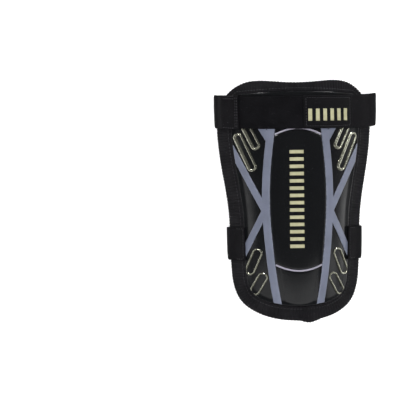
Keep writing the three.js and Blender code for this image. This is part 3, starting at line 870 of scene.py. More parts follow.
def long_round(start, end, radius):
    heading = math.atan2(end[1] - start[1], end[0] - start[0])
    turn = heading + np.linspace(-math.pi / 2, math.pi / 2, ROUND_END_POINTS)
    half = radius * np.stack([np.cos(turn), np.sin(turn)], axis=-1)
    return evenly(np.vstack([end + half, start - half]), RIM_POINTS, closed=True)


print("rims on each side:", len(RIMS))

# %% [markdown]
# A rim that lies wholly inside the window is a ring, and its left band is made broader than its
# right one. A rim that is cut at the window keeps one width.
# %% Rims
BEAD_STEPS = 12
BEAD_FULLNESS = 0.8
CUT_RIM_ROUNDING = 0.4
LEFT_BAND_WIDER = 0.25


def bead_ring(name, line, width):
    outward = inwards(line)
    wide = (width / 2 * (1 - LEFT_BAND_WIDER * outward[:, 0]))[:, None]
    angles = np.linspace(0, math.pi, BEAD_STEPS + 1)
    rows = [line + outward * wide * math.cos(angle) for angle in angles]
    rise = RELIEF_TOP - SHELL_TOP
    points = [laid(row, SHELL_TOP + rise * math.sin(angle) ** BEAD_FULLNESS)
              for row, angle in zip(rows, angles)]
    points += [laid(row, RELIEF_LOW) for row in (rows[-1], rows[0])]
    return ring(name, np.array(points))


def make_rim(node, start, end, radius, width):
    line = long_round(start, end, radius)
    reach = depth_inside(line)
    if reach.min() > RELIEF_INSET + width / 2:
        piece = bead_ring(f"{node}_bead", line, width)
    else:
        opened = np.roll(line, -int(np.argmin(reach)), axis=0)
        piece = trimmed_bar(f"{node}_bead", opened, width, RELIEF_LOW, RELIEF_TOP,
                            width * CUT_RIM_ROUNDING, (3, 120))
    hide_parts(node)
    return piece


rims = [make_rim(f"rim_{side_name}_{place}", rim_end(start, side), rim_end(end, side), *size)
        for side_name, side in SIDES.items() for place, start, end, size in RIMS]
print("rims:", len(rims))

# %% [markdown]
# ## Lines at the panel's ends
# A thin bead follows each bowed end of the middle plate. It is the same plastic as the stripes,
# and its lighter colour is a painted highlight along the bead.
# %% Panel lines
LINE_POINTS = 81
LINE_ROUNDING = 0.6


def make_panel_line(node, end):
    share = np.linspace(-1, 1, LINE_POINTS)
    y = arc_y(end, share) + math.copysign(CLEARANCE + LINE_WIDTH / 2, end)
    line = np.stack([share * field_half_width(y), y], axis=-1)
    piece = trimmed_bar(f"{node}_bead", line, LINE_WIDTH, RELIEF_LOW, RELIEF_TOP, LINE_ROUNDING,
                        (3, 90))
    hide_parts(node)
    return piece


panel_lines = [make_panel_line("panel_line_top", PANEL_TOP),
               make_panel_line("panel_line_bottom", PANEL_BOTTOM)]
print("panel lines:", len(panel_lines))

# %% [markdown]
# ## Elastic straps
# Each elastic leaves the front over the tape, drops round the edge and runs flat under the hollow.
# The route is the same as in the solids: set heights over the shell, a soft bend over the edge and
# one onto the ground. A simulation could find the bends, but the photograph already shows how far
# they stand out, so the route is drawn and the cloth laid along it.
# %% Strap routes
STRAP_BEND_RADIUS = 3
FRONT_POINTS = 60
FRONT_SMOOTHING = 3
EDGE_POINTS = 30
GROUND_POINTS = 20
BACK_POINTS = 12
BACK_STARTS = 0.95
ROUTE_POINTS = 420


def quadratic(start, pull, end, count):
    t = np.linspace(0, 1, count)[:, None]
    return (1 - t) ** 2 * start + 2 * t * (1 - t) * pull + t * t * end


def bow_at(x, bow):
    """How far a strap is drawn towards the knee end at its sides."""
    return bow * (np.asarray(x) / HALF_WIDTH) ** 2


def strap_side(y, levels, slack, bow):
    """Half of a strap's middle line at one place along the guard, from its front end to the middle
    of its back stretch."""
    reach = float(half_width(y + bow))
    turn_x = reach - STRAP_BEND_RADIUS
    front_x = [x for x, _ in levels] + [turn_x]
    front_level = [level for _, level in levels] + [ELASTIC_ON_TAPE]
    x = np.linspace(front_x[0], front_x[-1], FRONT_POINTS)
    level = np.pad(np.interp(x, front_x, front_level), FRONT_SMOOTHING, mode="edge")
    width = 2 * FRONT_SMOOTHING + 1
    level = np.convolve(level, np.ones(width) / width, mode="valid")
    front = over_foam(x, y + bow_at(x, bow), level)

    def place_at(x, z):
        return np.array([x, y + bow_at(x, bow), z])

    edge = over_foam(reach, y + bow, TAPE_FRONT_TOP - TAPE_ROUNDING)[0]
    outside = edge + CLEARANCE + HALF_ELASTIC + slack
    slope = arch_normal(np.float64(turn_x), np.float64(y + bow_at(turn_x, bow)))
    turn_from = front[-1]
    drop = (outside - turn_from[0]) * slope[0] / slope[2]
    shoulder = max(turn_from[2] - drop, STRAP_BEND_RADIUS + ELASTIC_THICKNESS)
    low = HALF_ELASTIC
    side_middle = place_at(outside, (shoulder + low) / 2)
    over_edge = quadratic(turn_from, place_at(outside, shoulder), side_middle, EDGE_POINTS)
    ground_x = outside - STRAP_BEND_RADIUS
    to_ground = quadratic(side_middle, place_at(outside, low), place_at(ground_x, low),
                          GROUND_POINTS)
    back_shares = np.linspace(BACK_STARTS, 0, BACK_POINTS)
    back = np.array([place_at(ground_x * share, low) for share in back_shares])
    return np.vstack([front, over_edge[1:], to_ground[1:], back])


def strap_route(y, left, right, bow):
    left_half = strap_side(y, *left(y), bow) * [-1, 1, 1]
    right_half = strap_side(y, *right(y), bow)[::-1]
    return evenly(np.vstack([left_half, right_half[1:]]), ROUTE_POINTS, closed=False)


print("points on a strap's route:", ROUTE_POINTS)

# %% [markdown]
# The route is worked out anew for each lengthwise line of the cloth, so the strap follows the arch
# and its bow over its whole width. Both borders have a selvedge, which is thinner than the cloth
# between them.
# %% Elastic maker
STRAP_WIDTH = 30
STRAP_COLUMNS = 26
STRAP_ROUNDING = 0.8 * HALF_ELASTIC
STRAP_BORDER_SHARE = 0.25
SELVEDGE = 1.5
SELVEDGE_THIN = 0.3
SELVEDGE_STEP = 0.5


def make_elastic(name, node, place, left, right, bow=0.0):
    v, rise = with_edges(STRAP_WIDTH, STRAP_ROUNDING, STRAP_COLUMNS)
    offsets = (v - 0.5) * STRAP_WIDTH
    from_border = STRAP_WIDTH / 2 - np.abs(offsets)
    thin = 1 - SELVEDGE_THIN * (1 - eased((from_border - SELVEDGE) / SELVEDGE_STEP + 0.5))
    lines = np.array([strap_route(place + offset, left, right, bow) for offset in offsets])
    along = np.gradient(lines, axis=1)
    normal = np.stack([along[..., 2], np.zeros(along.shape[:2]), -along[..., 0]], axis=-1)
    normal /= np.linalg.norm(normal, axis=-1, keepdims=True)
    full = STRAP_BORDER_SHARE + (1 - STRAP_BORDER_SHARE) * rise
    half = (HALF_ELASTIC * thin * full)[:, None, None]
    steps = np.linalg.norm(np.diff(lines, axis=1), axis=-1)
    length = np.concatenate([np.zeros((len(lines), 1)), np.cumsum(steps, axis=1)], axis=1)
    places = np.stack([length, np.broadcast_to(offsets[:, None], length.shape)], axis=-1)
    border = np.broadcast_to(1 - rise[:, None], length.shape)
    piece = slab(name, lines - normal * half, lines + normal * half, places, border)
    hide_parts(node)
    return piece, length[len(lines) // 2, -1]


print("rows across an elastic:", STRAP_COLUMNS)

# %% [markdown]
# The front ends differ. The upper elastic overlaps the loop cloth at the left and runs under the
# hook tab at the right, where it stands off loosely, and both ends of the lower one are sewn over
# the tape.
# %% Elastics
UPPER_STRAP_LEFT_SLACK = 0.2
UPPER_STRAP_RIGHT_SLACK = 4.6
LOWER_STRAP_SLACK = 1.1
ELASTIC_LEFT_COVER = 22.5
LOOP_CLOTH_LEFT_COVER = 8
TAB_LENGTH = 41.8
TAB_LEFT_PLACE = 3.7
TAB_SEAM = 6
LOWER_STRAP_OVER_SHELL = 2.1
UPPER_STRAP_BOW = 5.7


def upper_left(y):
    reach = float(half_width(y))
    covered = (ELASTIC_LEFT_COVER + LOOP_CLOTH_LEFT_COVER) / 2
    places = [reach - ELASTIC_LEFT_COVER, reach - covered, reach - LOOP_CLOTH_LEFT_COVER]
    return [(x, ELASTIC_ON_LOOP) for x in places], UPPER_STRAP_LEFT_SLACK


def upper_right(y):
    start = TAB_LEFT_PLACE + TAB_LENGTH - TAB_SEAM
    places = [start, start + TAB_SEAM, float(half_width(y)) - TAPE_WIDTH_SIDES + TAPE_ROUNDING]
    return [(x, ELASTIC_OVER_RELIEF) for x in places], UPPER_STRAP_RIGHT_SLACK


def lower_end(y):
    reach = float(half_width(y))
    window = reach - TAPE_WIDTH_SIDES
    levels = [(window - LOWER_STRAP_OVER_SHELL, ELASTIC_OVER_RELIEF), (window, ELASTIC_OVER_RELIEF),
              (window + TAPE_WIDTH_SIDES / 2, ELASTIC_ON_TAPE)]
    return levels, LOWER_STRAP_SLACK


upper_elastic, upper_length = make_elastic(
    "upper_strap_elastic_cloth", "upper_strap_elastic", UPPER_STRAP_PLACE, upper_left, upper_right,
    UPPER_STRAP_BOW)
lower_elastic, lower_length = make_elastic(
    "lower_strap_elastic_cloth", "lower_strap_elastic", LOWER_STRAP_PLACE, lower_end, lower_end)
print("elastic lengths:", round(upper_length), "and", round(lower_length), "mm")

# %% [markdown]
# ## Loop panel and hook tab
# The front of the upper strap is brushed loop cloth, and the hook tab closes on it. Both are laid
# over the arch as soft plates. The loop cloth has an uneven nap and a few small wrinkles near its
# lower border, so its top grid is moved by a sum of short waves.
# %% Loop cloth
FRONT_CLOTH_WIDTH = 28.4
STRAP_END_GAP = 0.6
LOOP_CLOTH_ROUNDING = 0.6
WRINKLE_HEIGHT = 0.45
WRINKLE_PLACE = (0.40, 0.16)
WRINKLE_REACH = (0.16, 0.10)
WRINKLE_WAVES = (7.5, 1.6)
NAP_HEIGHT = 0.2
NAP_WAVES = 14
NAP_SLOWER_ALONG = 0.4
rng = np.random.default_rng(7)
wave_counts = rng.uniform(18, 46, (NAP_WAVES, 2))
wave_starts = rng.uniform(0, 2 * math.pi, NAP_WAVES)


def front_plan(left_x, right_x):
    def plan(u, v):
        x = left_x + (right_x - left_x) * u
        return x, UPPER_STRAP_PLACE + (v - 0.5) * FRONT_CLOTH_WIDTH + bow_at(x, UPPER_STRAP_BOW)
    return plan


def brushed_relief(u, v):
    """Uneven nap all over, and short wrinkles near the lower border."""
    nap = sum(np.sin(2 * math.pi * (a * u + b * v * NAP_SLOWER_ALONG) + start)
              for (a, b), start in zip(wave_counts, wave_starts)) / NAP_WAVES
    fade_u = np.exp(-((u - WRINKLE_PLACE[0]) / WRINKLE_REACH[0]) ** 2)
    fade_v = np.exp(-((v - WRINKLE_PLACE[1]) / WRINKLE_REACH[1]) ** 2)
    wrinkle = np.sin(2 * math.pi * (WRINKLE_WAVES[0] * u + WRINKLE_WAVES[1] * v))
    return NAP_HEIGHT * nap + WRINKLE_HEIGHT * wrinkle * fade_u * fade_v


loop_left = LOOP_CLOTH_LEFT_COVER - float(half_width(UPPER_STRAP_PLACE)) + STRAP_END_GAP
loop_right = TAB_LEFT_PLACE + TAB_LENGTH - TAB_SEAM - STRAP_END_GAP
loop_panel = plate("upper_strap_loop_cloth", front_plan(loop_left, loop_right),
                   (loop_right - loop_left, FRONT_CLOTH_WIDTH), LOOP_LOW, LOOP_TOP,
                   LOOP_CLOTH_ROUNDING, (220, 70), brushed_relief)
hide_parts("upper_strap_loop_panel")
print("loop cloth:", round(loop_right - loop_left), "mm long")

# %% [markdown]
# The tab is sewn round its border. The thread presses the cloth down there, and inside the seam the
# tab swells a little.
# %% Hook tab
TAB_ROUNDING = 0.7
TAB_STITCH_INSET = 2.0
TAB_SEAM_DEPTH = 0.3
TAB_SEAM_REACH = 0.7
TAB_SWELL = 0.12


def tab_relief(u, v):
    from_ends = np.minimum(u, 1 - u) * TAB_LENGTH
    from_sides = np.minimum(v, 1 - v) * FRONT_CLOTH_WIDTH
    from_seam = np.minimum(from_ends, from_sides) - TAB_STITCH_INSET
    pressed = np.exp(-(from_seam / TAB_SEAM_REACH) ** 2)
    return TAB_SWELL * np.sin(math.pi * u) * np.sin(math.pi * v) - TAB_SEAM_DEPTH * pressed


tab = plate("upper_strap_tab_cloth", front_plan(TAB_LEFT_PLACE, TAB_LEFT_PLACE + TAB_LENGTH),
            (TAB_LENGTH, FRONT_CLOTH_WIDTH), TAB_LOW, TAB_TOP, TAB_ROUNDING, (110, 70),
            tab_relief)
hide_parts("upper_strap_tab")
print("tab:", TAB_LENGTH, "mm long")

# %% [markdown]
# ## Stitches
# Thread shows along the tape, across the ends of the elastics and round the tab. A dotted texture
# would do from far away. Here each stitch is a small spindle of thread laid along the cloth, all
# stitches of one seam in one mesh, so that they stand on the cloth and catch light one by one.
# %% Stitch maker
TAPE_STITCH = {"pitch": 2.9, "length": 2.1, "width": 0.5}
FINE_STITCH = {"pitch": 2.3, "length": 1.8, "width": 0.45}
SPINDLE_STEPS = 6
SPINDLE_SIDES = 6
SPINDLE_END = 0.02
THREAD_FLATNESS = 0.7
SEAM_POINTS = 60


def stitch_row(name, line, slot, pitch, length, width):
    """Stitches along a line of plan points with heights over the foam: rows of x, y, height."""
    route = laid(line, line[:, 2])
    normals = arch_normal(line[:, 0], line[:, 1])
    steps = np.linalg.norm(np.diff(route, axis=0), axis=1)
    places = np.concatenate([[0], np.cumsum(steps)])
    count = max(int(places[-1] / pitch), 1)
    centres = (np.arange(count) + 0.5) * places[-1] / count
    share = np.linspace(-1, 1, SPINDLE_STEPS + 1)
    angles = np.arange(SPINDLE_SIDES) * 2 * math.pi / SPINDLE_SIDES
    points = []
    faces = []
    for centre in centres:
        at = centre + share * length / 2
        spine = np.stack([np.interp(at, places, part) for part in route.T], axis=-1)
        up = np.stack([np.interp(at, places, part) for part in normals.T], axis=-1)
        along = np.gradient(spine, axis=0)
        side = np.cross(along, up)
        side /= np.linalg.norm(side, axis=1, keepdims=True)
        radius = (width / 2 * np.sqrt(np.maximum(1 - share ** 2, SPINDLE_END)))[:, None]
        first = len(points) * SPINDLE_SIDES * (SPINDLE_STEPS + 1)
        turned = [spine + radius * (np.cos(angle) * side + THREAD_FLATNESS * np.sin(angle) * up)
                  for angle in angles]
        points.append(np.stack(turned, axis=1).reshape(-1, 3))
        faces.append(grid_faces(SPINDLE_STEPS + 1, SPINDLE_SIDES, wrap_columns=True) + first)
    return new_piece(name, np.concatenate(points), np.concatenate(faces).tolist())


def line_over(points, height):
    return np.column_stack([points, np.full(len(points), height)])


def straight(start, end, height, bow=0.0):
    share = np.linspace(0, 1, SEAM_POINTS)[:, None]
    points = np.array(start) * (1 - share) + np.array(end) * share
    points[:, 1] += bow_at(points[:, 0], bow)
    return line_over(points, height)


print("stitches on the tape:", TAPE_STITCH["length"], "mm, elsewhere:", FINE_STITCH["length"], "mm")

# %% [markdown]
# ## Seams
# One seam runs round the tape on each face, and it lies just above the tape. At the left end of the
# upper strap two close seams hold the elastic to the loop cloth, and short ones run along its
# borders from there.
# %% Seams on the tape and at the strap's left end
TAPE_SEAM_INSET = 2.4
TAPE_SEAM_POINTS = 900
TAPE_SEAM_LIFT = 0.02
END_SEAM_INSETS = (0.9, 2.4)
BORDER_SEAM_INSETS = {"high_1": 0.9, "high_2": 3.2, "low": -0.9}
BORDER_SEAM_FROM = 3.6
BORDER_SEAM_TO = 13
SEAM_END_INSET = 1.5


def tape_seam(name, points, height):
    line = line_over(np.vstack([points, points[:1]]), height)
    return stitch_row(name, line, "tape", **TAPE_STITCH)


def across_strap(name, x, place, height, bow=0.0):
    half = STRAP_WIDTH / 2 - SEAM_END_INSET
    line = straight((x, place - half), (x, place + half), height, bow)
    return stitch_row(name, line, "elastic", **FINE_STITCH)


seams = [
    tape_seam("tape_seam_front", window_at(TAPE_SEAM_POINTS, -TAPE_SEAM_INSET),
              TAPE_FRONT_TOP + TAPE_SEAM_LIFT),
    tape_seam("tape_seam_back", outline_at(TAPE_SEAM_POINTS, TAPE_WIDTH_BACK - TAPE_SEAM_INSET),
              TAPE_BACK_LOW - TAPE_SEAM_LIFT),
]
elastic_on_loop_top = ELASTIC_ON_LOOP + HALF_ELASTIC
left_end = ELASTIC_LEFT_COVER - float(half_width(UPPER_STRAP_PLACE))
for number, inset in enumerate(END_SEAM_INSETS, 1):
    seams.append(across_strap(f"upper_left_seam_{number}", left_end - inset, UPPER_STRAP_PLACE,
                              elastic_on_loop_top, UPPER_STRAP_BOW))
for border, inset in BORDER_SEAM_INSETS.items():
    y = UPPER_STRAP_PLACE + math.copysign(STRAP_WIDTH / 2, inset) - inset
    line = straight((left_end - BORDER_SEAM_FROM, y), (left_end - BORDER_SEAM_TO, y),
                    elastic_on_loop_top, UPPER_STRAP_BOW)
    seams.append(stitch_row(f"upper_left_seam_{border}", line, "elastic", **FINE_STITCH))
print("seams so far:", len(seams))

# %% [markdown]
# Each end of the lower elastic is sewn over the tape on three sides of a box, whose long sides sink
# with the cloth towards the guard's edge. One seam in four lengths goes round the tab.
# %% Seams of the lower strap and the tab
LOWER_SEAM_INSET = 1.2
LOWER_BORDER_INSET = 1.4
LOWER_SEAM_LENGTH = 6.5
LOWER_SEAM_SINKS = 1.3
LOWER_SEAM_SINKS_FROM = 1
LOWER_SEAM_SINKS_OVER = 8
TAB_SEAM_SINK = 0.25

lower_end_x = float(half_width(LOWER_STRAP_PLACE)) - TAPE_WIDTH_SIDES - LOWER_STRAP_OVER_SHELL
seam_x = lower_end_x + LOWER_SEAM_INSET
elastic_end_top = ELASTIC_OVER_RELIEF + HALF_ELASTIC
border_reach = STRAP_WIDTH / 2 - LOWER_BORDER_INSET
for name, side in SIDES.items():
    seams.append(across_strap(f"lower_{name}_seam_inner", side * seam_x, LOWER_STRAP_PLACE,
                              elastic_end_top))
    for border, reach in (("low", -border_reach), ("high", border_reach)):
        y = LOWER_STRAP_PLACE + reach
        line = straight((side * seam_x, y), (side * (seam_x + LOWER_SEAM_LENGTH), y), elastic_end_top)
        gone = np.abs(line[:, 0]) - seam_x - LOWER_SEAM_SINKS_FROM
        line[:, 2] -= LOWER_SEAM_SINKS * eased(gone / LOWER_SEAM_SINKS_OVER)
        seams.append(stitch_row(f"lower_{name}_seam_{border}", line, "elastic", **FINE_STITCH))

seam_left = TAB_LEFT_PLACE + TAB_STITCH_INSET
seam_right = TAB_LEFT_PLACE + TAB_LENGTH - TAB_STITCH_INSET
seam_low = UPPER_STRAP_PLACE - FRONT_CLOTH_WIDTH / 2 + TAB_STITCH_INSET
seam_high = UPPER_STRAP_PLACE + FRONT_CLOTH_WIDTH / 2 - TAB_STITCH_INSET
corners = [(seam_left, seam_low), (seam_right, seam_low),
           (seam_right, seam_high), (seam_left, seam_high)]
for number, (start, end) in enumerate(zip(corners, corners[1:] + corners[:1]), 1):
    line = straight(start, end, TAB_TOP - TAB_SEAM_SINK, UPPER_STRAP_BOW)
    seams.append(stitch_row(f"tab_seam_{number}", line, "tab_cloth", **FINE_STITCH))
print("seams:", len(seams))

# %% [markdown]
# ## Printed dashes
# The middle plate and the tab each carry a plain scale of short dashes in khaki, printed thick
# enough to feel. They are very low plates with soft edges, so they bend with what carries them.
# %% Dashes
PRINT_THICKNESS = 0.14
PRINT_SINK = 0.25
PRINT_ROUNDING = 0.12
TAB_PRINT_LIFT = 0.08
DASH_LENGTH = 11.4
DASH_WIDTH = 3
PANEL_DASH_COUNT = 14
PANEL_DASH_FROM = 43.6
PANEL_DASH_TO = -39.0
PANEL_DASH_X = -1.6
TAB_DASH_COUNT = 6
TAB_DASH_FROM = 8.7
TAB_DASH_TO = 38.6
TAB_DASH_Y = 75.0
TAB_DASH_LENGTH = 10.4


def dash(name, centre, size, base):
    def plan(u, v):
        return centre[0] + (u - 0.5) * size[0], centre[1] + (v - 0.5) * size[1]
    return plate(name, plan, size, base - PRINT_SINK, base + PRINT_THICKNESS, PRINT_ROUNDING,
                 (10, 10))


dashes = []
for number, y in enumerate(np.linspace(PANEL_DASH_FROM, PANEL_DASH_TO, PANEL_DASH_COUNT), 1):
    dashes.append(dash(f"panel_dash_{number}", (PANEL_DASH_X, y), (DASH_LENGTH, DASH_WIDTH),
                       SHELL_TOP + PANEL_RISE))
for number, x in enumerate(np.linspace(TAB_DASH_FROM, TAB_DASH_TO, TAB_DASH_COUNT), 1):
    centre = (x, TAB_DASH_Y + bow_at(x, UPPER_STRAP_BOW))
    dashes.append(dash(f"tab_dash_{number}", centre, (DASH_WIDTH, TAB_DASH_LENGTH),
                       TAB_TOP + TAB_PRINT_LIFT))
print("dashes:", len(dashes))

# %% [markdown]
# ## Effects that several finishes share
# Worn edges, uneven mottling, woven threads and dust each turn up in more than one material. On the
# stripes the worn-edge mask also carries a painted highlight. Each is a shader node group with named
# inputs and outputs, so that a material only states its own values. A group gives masks and heights,
# and the shader itself stays in the material.
# %% Helpers for node trees
def feed(tree, place, value):
    if isinstance(value, bpy.types.NodeSocket):
        tree.links.new(value, place)
    else:
        place.default_value = value


def calculate(tree, operation, *values):
    node = tree.nodes.new("ShaderNodeMath")
    node.operation = operation
    for place, value in zip(node.inputs, values):
        feed(tree, place, value)
    return node.outputs[0]


def feed_all(tree, node, **values):
    """Feeds inputs by their titles, written with _ for each space."""
    for title, value in values.items():
        feed(tree, node.inputs[title.replace("_", " ")], value)


def noise(tree, scale, detail):
    node = tree.nodes.new("ShaderNodeTexNoise")
    places = tree.nodes.new("ShaderNodeTexCoord").outputs["Object"]
    feed_all(tree, node, Vector=places, Scale=scale, Detail=detail, Roughness=0.5)
    return node.outputs["Fac"]


def between(tree, value, low, high, to_low=0.0, to_high=1.0):
    node = tree.nodes.new("ShaderNodeMapRange")
    node.interpolation_type = "SMOOTHSTEP"
    feed_all(tree, node, Value=value, From_Min=low, From_Max=high, To_Min=to_low, To_Max=to_high)
    return node.outputs["Result"]


def blend_colours(tree, share, first, second):
    node = tree.nodes.new("ShaderNodeMix")
    node.data_type = "RGBA"
    feed(tree, node.inputs["Factor"], share)
    for place, colour in (("A", first), ("B", second)):
        socket = [one for one in node.inputs if one.name == place and one.type == "RGBA"][0]
        feed(tree, socket, colour if isinstance(colour, bpy.types.NodeSocket) else (*colour, 1))
    return [one for one in node.outputs if one.type == "RGBA"][0]


print("node helpers ready")

# %% [markdown]
# A group is made once with its inputs and their usual values, and then placed in each material with
# that material's own values.
# %% Helpers for groups
def new_group(name, inputs, outputs):
    group = bpy.data.node_groups.new(name, "ShaderNodeTree")
    for title, value in inputs.items():
        socket = group.interface.new_socket(name=title, in_out="INPUT", socket_type="NodeSocketFloat")
        socket.default_value = value
    for title in outputs:
        group.interface.new_socket(name=title, in_out="OUTPUT", socket_type="NodeSocketFloat")
    taken = group.nodes.new("NodeGroupInput").outputs
    given = group.nodes.new("NodeGroupOutput").inputs
    return group, taken, given


def place_group(tree, group, **values):
    node = tree.nodes.new("ShaderNodeGroup")
    node.node_tree = group
    feed_all(tree, node, **values)
    return node.outputs


print("group helpers ready")

# %% [markdown]
# Wear shows first where a moulded edge is touched most. The edges were marked on the meshes while
# they were made, so the group only breaks the mark up with noise. On the stripes the same mask also
# lightens the rounded shoulders as a painted highlight.
# %% Edge wear and painted highlight group
edge_wear_and_highlight, taken, given = new_group("edge_wear_and_highlight", {"Break up": 400.0, "Amount": 0.5}, ["Mask"])
mark = edge_wear_and_highlight.nodes.new("ShaderNodeAttribute")
mark.attribute_name = EDGE_MASK
broken = noise(edge_wear_and_highlight, taken["Break up"], 3.0)
patches = between(edge_wear_and_highlight, broken, 0.42, 0.62)
rubbed_and_lit = calculate(edge_wear_and_highlight, "MULTIPLY", mark.outputs["Fac"], patches)
feed(edge_wear_and_highlight, given["Mask"], calculate(edge_wear_and_highlight, "MULTIPLY", rubbed_and_lit, taken["Amount"]))
print("group:", edge_wear_and_highlight.name)

# %% [markdown]
# No moulded or dyed surface is quite even. Mottling is soft noise with a named scale, given as a
# mask for colour or roughness and as a height for the bump.
# %% Mottled group
mottled, taken, given = new_group("mottled", {"Scale": 60.0, "Contrast": 0.2}, ["Mask", "Height"])
cloud = noise(mottled, taken["Scale"], 5.0)
high_end = calculate(mottled, "ADD", 0.5, taken["Contrast"])
low_end = calculate(mottled, "SUBTRACT", 0.5, taken["Contrast"])
feed(mottled, given["Mask"], between(mottled, cloud, low_end, high_end))
feed(mottled, given["Height"], cloud)
print("group:", mottled.name)

# %% [markdown]
# Woven cloth is two sets of threads that pass over and under each other. Two sine waves across the
# millimetre map, multiplied together, raise and lower the threads in turn, and a little noise keeps
# the rows from looking ruled.
# %% Woven threads group
woven, taken, given = new_group("woven_threads", {"Pitch across": 0.9, "Pitch along": 0.6},
                                ["Height", "Gaps"])
cloth_map = woven.nodes.new("ShaderNodeUVMap")
cloth_map.uv_map = CLOTH_MAP
split = woven.nodes.new("ShaderNodeSeparateXYZ")
woven.links.new(cloth_map.outputs["UV"], split.inputs[0])
unruly = calculate(woven, "MULTIPLY", noise(woven, 500.0, 2.0), 0.5)


def threads(place, pitch):
    turns = calculate(woven, "DIVIDE", calculate(woven, "ADD", place, unruly), pitch)
    return calculate(woven, "SINE", calculate(woven, "MULTIPLY", turns, math.pi))


crossed = calculate(woven, "MULTIPLY", threads(split.outputs["X"], taken["Pitch along"]),
                    threads(split.outputs["Y"], taken["Pitch across"]))
raised = calculate(woven, "ABSOLUTE", crossed)
feed(woven, given["Height"], raised)
feed(woven, given["Gaps"], between(woven, raised, 0.35, 0.0))
print("group:", woven.name)

# %% [markdown]
# Black cloth and black plastic both show dust. Sparse specks come from the peaks of fine noise.
# %% Dust group
dust, taken, given = new_group("dust_specks", {"Scale": 900.0, "Amount": 0.5}, ["Mask"])
grainy = noise(dust, taken["Scale"], 1.0)
specks = between(dust, grainy, 0.69, 0.76)
feed(dust, given["Mask"], calculate(dust, "MULTIPLY", specks, taken["Amount"]))
print("group:", dust.name)

# %% [markdown]
# Every finish below starts from one new material, mixes masks into its colour and roughness, lets
# its groups raise the surface a little, and is then put on its pieces.
# %% Helpers for materials
def new_material(name):
    material = bpy.data.materials.new(name)
    material.use_nodes = True
    return material, material.node_tree, material.node_tree.nodes["Principled BSDF"]


def bump(tree, height, distance, strength, under=None):
    node = tree.nodes.new("ShaderNodeBump")
    feed_all(tree, node, Strength=strength, Distance=distance, Height=height)
    if under is not None:
        feed(tree, node.inputs["Normal"], under)
    return node.outputs["Normal"]


def mixed_in(tree, mask, gain, start):
    """A value that starts where the mask is 0 and gains as it grows."""
    return calculate(tree, "MULTIPLY_ADD", mask, gain, start)


def dress(material, *pieces):
    for piece in pieces:
        piece.data.materials.clear()
        piece.data.materials.append(material)


print("material helpers ready")

# %% [markdown]
# ## Shell finish
# The shell is black injection-moulded plastic with a high gloss. Its colour is almost nothing, so
# all that is seen is what it mirrors, and the small faults matter: a slow waviness from the mould,
# fine mottling in the gloss, and edges that are rubbed a little grey.
# %% Shell material
SHELL_BLACK = (0.0052, 0.0056, 0.0064)
SHELL_RUBBED = (0.035, 0.037, 0.042)
shell_finish, tree, shader = new_material("glossy_black_shell")
wear_and_highlight = place_group(tree, edge_wear_and_highlight, Break_up=900.0, Amount=0.2)["Mask"]
specks = place_group(tree, dust, Scale=1100.0, Amount=0.35)["Mask"]
faint = place_group(tree, mottled, Scale=45.0, Contrast=0.25)
fine = place_group(tree, mottled, Scale=1400.0, Contrast=0.2)
colour = blend_colours(tree, calculate(tree, "MAXIMUM", wear_and_highlight, specks), SHELL_BLACK, SHELL_RUBBED)
dulled = mixed_in(tree, wear_and_highlight, 0.25, mixed_in(tree, faint["Mask"], 0.04, 0.13))
slow = bump(tree, faint["Height"], 0.0004, 0.25)
grain = bump(tree, fine["Height"], 0.00003, 0.4, slow)
feed_all(tree, shader, Base_Color=colour, Roughness=dulled, Normal=grain)
dress(shell_finish, shell, middle_plate, lower_plate)
print("material:", shell_finish.name)

# %% [markdown]
# ## Stripe finish
# The stripes are a lilac-grey plastic with a satin face. They mirror softly, and their shoulders
# are lighter, partly worn by rubbing and partly a painted highlight along the edge. The two panel
# lines are the same plastic, and their paler colour is a painted highlight along the bead.
# %% Stripe materials
SATIN_MOTTLING = 0.86


def satin(name, colour, rubbed_and_lit, roughness):
    material, tree, shader = new_material(name)
    # The edge mask lightens the shoulders: partly worn by rubbing, partly a painted highlight.
    wear_and_highlight = place_group(tree, edge_wear_and_highlight, Break_up=700.0, Amount=0.8)["Mask"]
    cloud = place_group(tree, mottled, Scale=90.0, Contrast=0.22)
    fine = place_group(tree, mottled, Scale=2200.0, Contrast=0.2)
    darker = tuple(SATIN_MOTTLING * part for part in colour)
    base = blend_colours(tree, cloud["Mask"], darker, colour)
    feed_all(tree, shader, Base_Color=blend_colours(tree, wear_and_highlight, base, rubbed_and_lit),
             Roughness=mixed_in(tree, cloud["Mask"], 0.08, roughness),
             Normal=bump(tree, fine["Height"], 0.00004, 0.5))
    return material


# Each second colour is the lightened shoulder: painted highlight as well as worn plastic.
stripe_finish = satin("lilac_grey_stripe", (0.152, 0.168, 0.228), (0.34, 0.36, 0.44), 0.34)
# The panel line's base colour is paler than the stripe's: a painted highlight on the lilac bead.
panel_line_highlight_finish = satin("panel_line_painted_highlight", (0.36, 0.34, 0.42), (0.48, 0.46, 0.53), 0.32)
dress(stripe_finish, *stripe_parts)
dress(panel_line_highlight_finish, *panel_lines)
print("materials:", stripe_finish.name, panel_line_highlight_finish.name)

